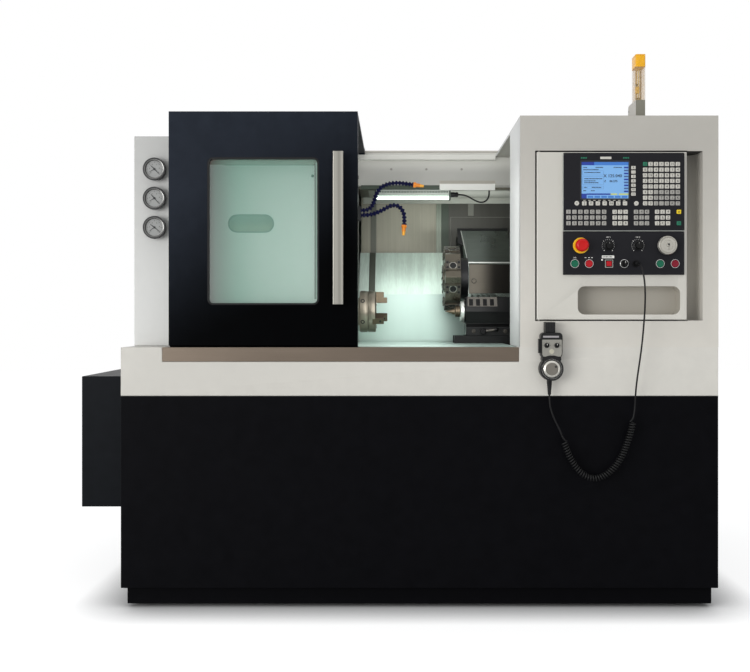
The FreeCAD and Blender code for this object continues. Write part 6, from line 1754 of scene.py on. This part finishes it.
def addControls(look):
    # stop head, handwheel, key switch and cord gland
    bm = bmesh.new()
    addTurned(bm, panelSpot(look, look["stop"], "upper"), outward,
              [(0, 0.0), (0.0138, 0.0), (0.0138, 0.0120), (0.0200, 0.0136), (0.0218, 0.0160),
               (0.0220, 0.0200), (0.0220, 0.0310), (0.0206, 0.0345), (0.0180, 0.0372), (0.0150, 0.0385),
               (0.0120, 0.0380), (0.0080, 0.0372), (0, 0.0370)], 64)
    addThing("stopHead", bm, "stop_cap", "red_plastic", "stopRed", stands=("stop_button",))
    bm = bmesh.new()
    centre = panelSpot(look, look["wheel"], "upper")
    addTurned(bm, centre, outward, [
        (0, 0.0004), (0.0256, 0.0004), (0.0256, 0.0040), (0.0310, 0.0052), (0.0320, 0.0065),
        (0.0320, 0.0110), (0.0312, 0.0114), (0.0312, 0.0122), (0.0320, 0.0126), (0.0320, 0.0190),
        (0.0305, 0.0212), (0.0290, 0.0218), (0.0274, 0.0212), (0.0266, 0.0198), (0.0258, 0.0198),
        (0.0252, 0.0216), (0.0170, 0.0218), (0.0166, 0.0213), (0.0160, 0.0213), (0.0156, 0.0218),
        (0.0060, 0.0218), (0.0052, 0.0208), (0.0048, 0.0214), (0, 0.0214)], 72, 0)
    addTurned(bm, centre + Vector((0.0027, 0, 0.0030)), outward, drum(0.0034, 0.0190, 0.0219), 24, 1)
    addPointer(bm, centre + Vector((0.0027, 0, 0)), (0.0220, 0.0210), (-0.0150, 0.0010), 1)
    addThing("feedWheel", bm, "wheel", "turned_aluminium", "wheelAluminium", "boltBlack",
             stands=("handwheel",))
    bm = bmesh.new()
    centre = panelSpot(look, look["key"], "lower")
    addTurned(bm, centre, outward, [(0, 0.0004), (0.0154, 0.0004), (0.0154, 0.0030), (0.0142, 0.0046),
                                    (0.0132, 0.0048), (0.0124, 0.0042), (0, 0.0042)], 48, 0)
    addTurned(bm, centre, outward, [
        (0, 0.0040), (0.0122, 0.0040), (0.0120, 0.0110), (0.0112, 0.0120), (0, 0.0120)], 48, 1)
    grip = ((-0.0026, -0.0100), (0.0026, -0.0100), (0.0034, 0.0070), (0, 0.0104), (-0.0034, 0.0070))
    addPlate(bm, [(centre.x + x, centre.z + z) for x, z in grip], centre.y - 0.0115, centre.y - 0.0210, 1)
    addPointer(bm, centre, (0.0216, 0.0208), (0.0010, 0.0085), 2)
    addThing("keySelector", bm, "key_lock", "black_plastic", "chromeRim", "knobBlack", "legendWhite",
             bevel=0.0005, stands=("key_switch",))
    bm = bmesh.new()
    centre = panelSpot(look, look["gland"], "lower")
    addTurned(bm, centre, outward, drum(0.0122, 0.0, 0.0012), 36)
    addTurned(bm, centre, outward, drum(0.0118, 0.0010, 0.0052), 6)
    addTurned(bm, centre, outward, [(0, 0.0050), (0.0090, 0.0050), (0.0088, 0.0130), (0.0080, 0.0150),
                                    (0.0062, 0.0190), (0.0042, 0.0200), (0, 0.0200)], 32)
    addThing("cordGland", bm, "swing_box", "black_rubber", "knobBlack", bevel=0.0004, stands=("cord_gland",))


addControls(panelLook)
print("operator panel made")


# hand pendant on its holder
pendantLook = {
    "x": (0.4095, 0.4825), "z": (0.864, 0.947), "y": (-0.7563, -0.7983), "barrel": (0.446, 0.824, 0.040),
    "plateTop": 0.9235, "knobs": (0.429, 0.463), "knobLevel": 0.904, "corner": 0.012,
    "waist": ((0.0, 0.880), (0.001, 0.872), (0.0045, 0.864), (0.0040, 0.855)), "reliefX": 0.441,
    "reliefFoot": 0.736, "reliefRings": 12, "marks": 50, "ribs": 7}


def addPendant(look):
    back, front = look["y"]
    x0, x1 = look["x"]
    centreX, centreZ, radius = look["barrel"]
    # the outline of the body: rounded head, drawn-in waist, round dial housing
    outline = []
    corner = look["corner"]
    for x, start in ((x1 - corner, 0), (x0 + corner, math.pi / 2)):
        for k in range(7):
            angle = start + math.pi / 2 * k / 6
            outline.append((x + corner * math.cos(angle), look["z"][1] - corner + corner * math.sin(angle)))
    outline += [(x0 + inset, z) for inset, z in look["waist"]]
    for k in range(29):
        angle = math.radians(139 + 262 * k / 28)
        outline.append((centreX + radius * math.cos(angle), centreZ + radius * math.sin(angle)))
    outline += [(x1 - inset, z) for inset, z in look["waist"][::-1]]
    bm = bmesh.new()
    addPlate(bm, outline, back, front + 0.0004, 0)
    relief = Vector((look["reliefX"], cordPlane, look["reliefFoot"]))
    profile = [(0, 0)]
    for i in range(look["reliefRings"]):
        base = 0.0050 + 0.0035 * i / (look["reliefRings"] - 1)
        height = 0.0003 + 0.046 * i / look["reliefRings"]
        profile += [(base, height), (base + 0.0008, height + 0.0010), (base + 0.0008, height + 0.0022),
                    (base, height + 0.0032)]
    profile += [(0.0088, 0.0480), (0.0088, 0.0600), (0, 0.0600)]
    addTurned(bm, relief, (0, 0, 1), profile, 32, 0)
    addThing("pendantShell", bm, "machine", "black_plastic", "pendantBlack", bevel=0.0035,
             stands=("pendant_body",))

    bm = bmesh.new()
    top = look["plateTop"]
    wave = [(0.4800, top - 0.0015), (0.4785, top), (0.4150, top), (0.4138, top - 0.0015), (0.4138, 0.8740)]
    for k in range(9):
        turn = math.pi * k / 8
        level = 0.8665 + 0.0045 * math.sin(turn) ** 2 - 0.0012 * math.sin(3 * turn) ** 2
        wave.append((0.4165 + 0.0595 * k / 8, level))
    wave.append((0.4800, 0.8750))
    addPlate(bm, wave, front + 0.0008, front - 0.0006, 0)
    addBlock(bm, (0.4165, front - 0.0003, 0.9305), (0.4700, front + 0.0008, 0.9365), 1)
    addTurned(bm, (0.4455, front, 0.8837), outward, [
        (0, 0), (0.0086, 0), (0.0080, 0.0012), (0, 0.0016)], 32, 3)
    for spot in look["knobs"]:
        for k in range(5):
            angle = math.radians(180 - 45 * k)
            mark = Vector((spot + math.cos(angle) * 0.0125, front - 0.0005,
                           look["knobLevel"] + math.sin(angle) * 0.0118))
            addText(bm, ("XYZ45" if spot == look["knobs"][0] else "01234")[k], 0.0045, mark, 2, 0.0002)
    addThing("pendantPlate", bm, "machine", "black_plastic", "pendantSilver", "stripSilver", "inkBlack",
             "pendantBoss", bevel=0.0004)

    bm = bmesh.new()
    for i in range(look["ribs"]):
        z = 0.8800 + i * 0.0078
        addBar(bm, (x1 - 0.0014, x1 + 0.0014), (back - 0.006, front + 0.010), (z, z + 0.0040), 0)
    ring = Vector((centreX, front, centreZ))
    addTurned(bm, ring, outward, [(0, -0.0020), (0.0370, -0.0020), (0.0365, -0.0002), (0.0310, 0.0008),
                                  (0.0300, 0.0004), (0, 0.0004)], 64, 0)
    for k in range(look["marks"]):
        addMark(bm, ring, 2 * math.pi * k / look["marks"], (0.0318, 0.0345), 0.0003,
                (front + 0.0002, front - 0.0008), 1)
    addThing("pendantGrip", bm, "machine", "black_plastic", "pendantBlack", "legendWhite")


addPendant(pendantLook)


def addPendantDial():
    centre = middleOf("pendant_dial")
    centre.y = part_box("pendant_dial")[1].y
    bm = bmesh.new()
    addTurned(bm, centre, outward, [
        (0, 0.0002), (0.0285, 0.0002), (0.0290, 0.0010), (0.0290, 0.0040), (0.0280, 0.0060), (0.0245, 0.0082),
        (0.0228, 0.0088), (0.0222, 0.0084), (0, 0.0084)], 72, 0)
    face = [(0, 0.0080), (0.0218, 0.0080), (0.0214, 0.0087), (0.0060, 0.0087), (0, 0.0087)]
    addTurned(bm, centre, outward, face, 64, 1)
    grip = [(0, 0.0084), (0.0042, 0.0084), (0.0040, 0.0089), (0, 0.0086)]
    addTurned(bm, centre + Vector((0.0130, 0, 0.0080)), outward, grip, 24, 2)
    addThing("pendantDial", bm, "pendant_wheel", "turned_aluminium", "dialRing", "dialFace", "boltBlack",
             stands=("pendant_dial",))
    knob = [(0, 0), (0.0088, 0), (0.0086, 0.0020), (0.0070, 0.0030), (0.0066, 0.0092), (0.0058, 0.0100),
            (0, 0.0100)]
    for node, body in (("axis_knob", "axis_selector"), ("step_knob", "step_selector")):
        spot = middleOf(node)
        spot.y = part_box(node)[1].y
        bm = bmesh.new()
        addTurned(bm, spot, outward, knob, 20, 0)
        addPointer(bm, spot, (0.0108, 0.0098), (0.0006, 0.0058), 1, 0.0007)
        addThing(node, bm, body, "black_plastic", "knobBlack", "legendWhite", stands=(node,))
    low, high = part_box("enable_button")
    bm = bmesh.new()
    addBlock(bm, low, high)
    for i in range(6):
        z = low.z + 0.006 + i * 0.0066
        addBlock(bm, (low.x - 0.0003, low.y + 0.003, z), (low.x + 0.0010, high.y - 0.003, z + 0.0026))
    addThing("enable_button", bm, "enable_cap", "black_plastic", "pendantBlack", bevel=0.0012,
             stands=("enable_button",))


def addHolder():
    low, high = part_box("pendant_holder")
    dress("pendant_holder", "pendantHook", ("pendantBlack",), 0.0015)
    bm = bmesh.new()
    for i in range(3):
        x = low.x + 0.006 + i * 0.0095
        addBlock(bm, (x, low.y - 0.0012, 0.9490), (x + 0.0030, low.y + 0.001, high.z - 0.003))
    addBlock(bm, (low.x + 0.002, low.y - 0.0008, 0.9590), (high.x - 0.002, low.y + 0.001, 0.9615))
    addThing("hookRibs", bm, "machine", "black_plastic", "pendantBlack", bevel=0.0006)


addPendantDial()
addHolder()
print("pendant made")


# tower light: a foot in white paint on its sides as painted light and in a darker paint on its other faces as
# painted shade, clear tube with an amber cap, gilt rods inside
towerLook = {
    "x": (0.756, 0.789), "y": (-0.690, -0.575), "base": (1.691, 1.758), "lensX": (0.7561, 0.7909),
    "lensY": (-0.690, -0.628), "top": 1.918, "amber": 1.874, "wall": 0.003, "cap": 0.004,
    "rods": ((-0.0075, 0.0030, 2), (0.0005, 0.0022, 3), (0.0078, 0.0032, 4)),
    "tags": ((-0.011, -0.007, 0.028, 0.002, 0.004, 0.052, 5), (-0.012, -0.009, 0.053, -0.004, -0.004,
                                                               0.061, 1), (-0.010, -0.008, 0.008, 0.006,
                                                                           0.006, 0.012, 1))}


def addTower(look):
    bm = bmesh.new()
    x0, x1 = look["x"]
    front, rear = look["y"]
    low, high = look["base"]
    side = [(front, low), (rear, low), (rear, high - 0.012), (rear - 0.004, high - 0.004),
            (rear - 0.012, high), (front, high)]
    rows = [[bm.verts.new((x, y, z)) for y, z in side] for x in (x0, x1)]
    bm.faces.new(rows[0])
    bm.faces.new(rows[1][::-1])
    for face in bm.faces:
        face.material_index = 6
    for k in range(len(side)):
        after = (k + 1) % len(side)
        bm.faces.new((rows[0][k], rows[1][k], rows[1][after], rows[0][after])).material_index = 0
    addTurned(bm, (x0, rear - 0.012, high - 0.021), (-1, 0, 0), drum(0.0042, -0.001, 0.0004), 24, 1)
    middleX, middleY = (x0 + x1) / 2, (look["lensY"][0] + look["lensY"][1]) / 2
    for dx, radius, slot in look["rods"]:
        addTurned(bm, (middleX + dx, middleY, high - 0.001), (0, 0, 1), [
            (0, 0), (radius, 0), (radius, 0.113), (radius * 0.6, 0.114), (0, 0.114)], 20, slot)
    foot = Vector((middleX, middleY, high))
    for tag in look["tags"]:
        addBlock(bm, foot + Vector(tag[:3]), foot + Vector(tag[3:6]), tag[6])
    addThing("towerFoot", bm, "machine", "tower_paint", "towerPaint", "boltBlack", "giltRod", "giltBright",
             "rodGrey", "stopYellow", "whitePaint", bevel=0.0008, stands=("tower_base",))

    # outlines in X and Y: the shapes are made lying down and stood up
    outer = roundOutline(look["lensX"], look["lensY"], 0.006, 6)
    inner = roundOutline(wider(look["lensX"], -look["wall"]), wider(look["lensY"], -look["wall"]), 0.003, 6)
    upright = Matrix(((1, 0, 0, 0), (0, 0, 1, 0), (0, 1, 0, 0), (0, 0, 0, 1)))
    bm = bmesh.new()
    addRing(bm, outer, inner, high, look["amber"], 0)
    addRing(bm, outer, inner, look["amber"] + 0.0002, look["top"] - look["cap"], 1)
    addPlate(bm, outer, look["top"] - look["cap"], look["top"], 1)
    addPlate(bm, inner, look["amber"] + 0.004, look["amber"] + 0.007, 1)
    bmesh.ops.transform(bm, matrix=upright, verts=bm.verts)
    addThing("towerLens", bm, "machine", "tower_clear", "lensClear", "lensAmber", bevel=0.0008,
             stands=("tower_lens",))


addTower(towerLook)


# trim on the housings: gasket, seams, screws and the plug in the door's edge
trimLook = {
    "gasket": 0.0016, "gasketY": (-0.7503, -0.7450), "gasketEnd": 0.9180,
    "seam": ((-1.0252, -0.7503, 0.7282), (1.0252, 0.7503, 0.7298)),
    "panels": (-0.72, 0.0, 0.72), "panelHalf": 0.30, "panelZ": (0.14, 0.66), "panelLine": 0.003,
    "panelDepth": (0.7490, 0.7506), "plug": (-0.2135, -0.700, 1.486)}
backScrews = [(x + dx, 0.7500, z) for x in trimLook["panels"] for dx in (-0.28, 0.28)
              for z in (0.16, 0.40, 0.64)]
beamScrews = [(x, 0.0798, 1.630) for x in (-0.10, 0.05, 0.20)]
sideScrews = [(-1.2370, y, z) for y in (-0.47, 0.12) for z in (0.33, 0.54, 0.75)]


def addTrim(look):
    bm = bmesh.new()
    left, (low, high), edge = recess["x"][0], recess["z"], look["gasket"]
    addBar(bm, (left - edge, left), look["gasketY"], (low - edge, high + edge))
    addBar(bm, (left, look["gasketEnd"]), look["gasketY"], (low - edge, low))
    addBar(bm, (left, look["gasketEnd"]), look["gasketY"], (high, high + edge))
    addThing("recessGasket", bm, "machine", "black_rubber", "blackRubber")
    bm = bmesh.new()
    addBlock(bm, *look["seam"])
    addThing("baseSeam", bm, "machine", "black_paint", "seamShade")
    bm = bmesh.new()
    line = look["panelLine"]
    for x in look["panels"]:
        span = wider((x, x), look["panelHalf"])
        inner = roundOutline(wider(span, -line), wider(look["panelZ"], -line), 0.008)
        addRing(bm, roundOutline(span, look["panelZ"], 0.010), inner, *look["panelDepth"])
    addThing("backSeams", bm, "machine", "black_paint", "seamShade")
    addScrews("backScrews", "machine", "boltSteel", backScrews, "back", 0.006, 0.0008)
    addScrews("beamScrews", "machine", "boltSteel", beamScrews, "front", 0.005, 0.002)
    bm = bmesh.new()
    addTurned(bm, look["plug"], (1, 0, 0), [(0, 0), (0.0065, 0), (0.0065, 0.0015), (0.0055, 0.0030),
                                            (0, 0.0030)], 24)
    addThing("doorPlug", bm, "door", "black_paint", "boltBlack")
    addScrews("sideScrews", "machine", "boltSteel", sideScrews, "left", 0.006, 0.0008)


addTrim(trimLook)
print("tower light and trim made")


# floor, light and background
studio = {
    "floorColour": (0.86, 0.86, 0.86, 1), "floorSize": 14.0, "worldLevel": 0.64,
    "seenColour": (0.5, 0.5, 0.5, 1), "seenGlow": 0.72, "shadowReach": 0.20, "shadowPower": 2.8,
    "panels": [
        {"name": "leftPanel", "place": (-4.9, -5.4, 1.5), "aim": (0, 0, 1.0), "size": (4.0, 3.0),
         "power": 228.0},
        {"name": "topPanel", "place": (0.3, -2.2, 4.4), "aim": (0, 0, 0.8), "size": (4.0, 2.5),
         "power": 14.0},
        {"name": "ceilingPanel", "place": (0.24, 0.24, 1.42), "aim": (0.24, 0.27, 1.60), "size": (0.36, 0.20),
         "power": 0.35},
        {"name": "roomPanel", "place": (0.06, -0.735, 1.26), "aim": (0.08, 0.30, 1.28), "size": (0.50, 0.55),
         "power": 2.6}]}


def floorPaper(look):
    # white paper: what the camera sees is lit from within as far as nothing stands close by
    paper = bpy.data.materials.new("floorPaper")
    paper.use_nodes = True
    tree = paper.node_tree
    tree.nodes.clear()
    out = tree.nodes.new("ShaderNodeOutputMaterial")
    plain = addNode(tree, "ShaderNodeBsdfDiffuse", {"Color": look["floorColour"]})
    dim = addNode(tree, "ShaderNodeBsdfDiffuse", {"Color": look["seenColour"]})
    near = addNode(tree, "ShaderNodeAmbientOcclusion", {"Distance": look["shadowReach"]}, samples=16)
    clear = calc(tree, "POWER", near.outputs["AO"], look["shadowPower"])
    glow = addNode(tree, "ShaderNodeEmission", {"Color": (1, 1, 1, 1)})
    tree.links.new(calc(tree, "MULTIPLY", clear, look["seenGlow"]), glow.inputs["Strength"])
    both = tree.nodes.new("ShaderNodeAddShader")
    tree.links.new(dim.outputs[0], both.inputs[0])
    tree.links.new(glow.outputs[0], both.inputs[1])
    mix = tree.nodes.new("ShaderNodeMixShader")
    tree.links.new(tree.nodes.new("ShaderNodeLightPath").outputs["Is Camera Ray"], mix.inputs[0])
    tree.links.new(plain.outputs[0], mix.inputs[1])
    tree.links.new(both.outputs[0], mix.inputs[2])
    tree.links.new(mix.outputs[0], out.inputs[0])
    return paper


def addStudio(look):
    bpy.context.scene.view_settings.view_transform = "Standard"
    world = bpy.data.worlds.new("paleStudio")
    bpy.context.scene.world = world
    world.use_nodes = True
    tree = world.node_tree
    tree.nodes.clear()
    out = tree.nodes.new("ShaderNodeOutputWorld")
    seen = addNode(tree, "ShaderNodeBackground", {"Color": (1, 1, 1, 1), "Strength": 1.0})
    lit = addNode(tree, "ShaderNodeBackground", {"Color": (0.97, 0.985, 1, 1),
                                                 "Strength": look["worldLevel"]})
    path = tree.nodes.new("ShaderNodeLightPath")
    direct = calc(tree, "MAXIMUM", path.outputs["Is Camera Ray"], path.outputs["Is Glossy Ray"])
    direct = calc(tree, "MAXIMUM", direct, path.outputs["Is Transmission Ray"])
    mix = tree.nodes.new("ShaderNodeMixShader")
    tree.links.new(direct, mix.inputs[0])
    tree.links.new(lit.outputs[0], mix.inputs[1])
    tree.links.new(seen.outputs[0], mix.inputs[2])
    tree.links.new(mix.outputs[0], out.inputs[0])

    bm = bmesh.new()
    bmesh.ops.create_grid(bm, x_segments=1, y_segments=1, size=look["floorSize"])
    floor = placed("studioFloor", meshOf("studioFloor", bm))
    floor.data.materials.append(floorPaper(look))

    for panel in look["panels"]:
        lamp = addAreaLight(panel["name"], panel["place"], panel["size"], panel["power"])
        lamp.visible_camera = False
        aim = Vector(panel["aim"]) - Vector(panel["place"])
        lamp.rotation_euler = aim.to_track_quat("-Z", "Y").to_euler()


addStudio(studio)
print("studio ready")
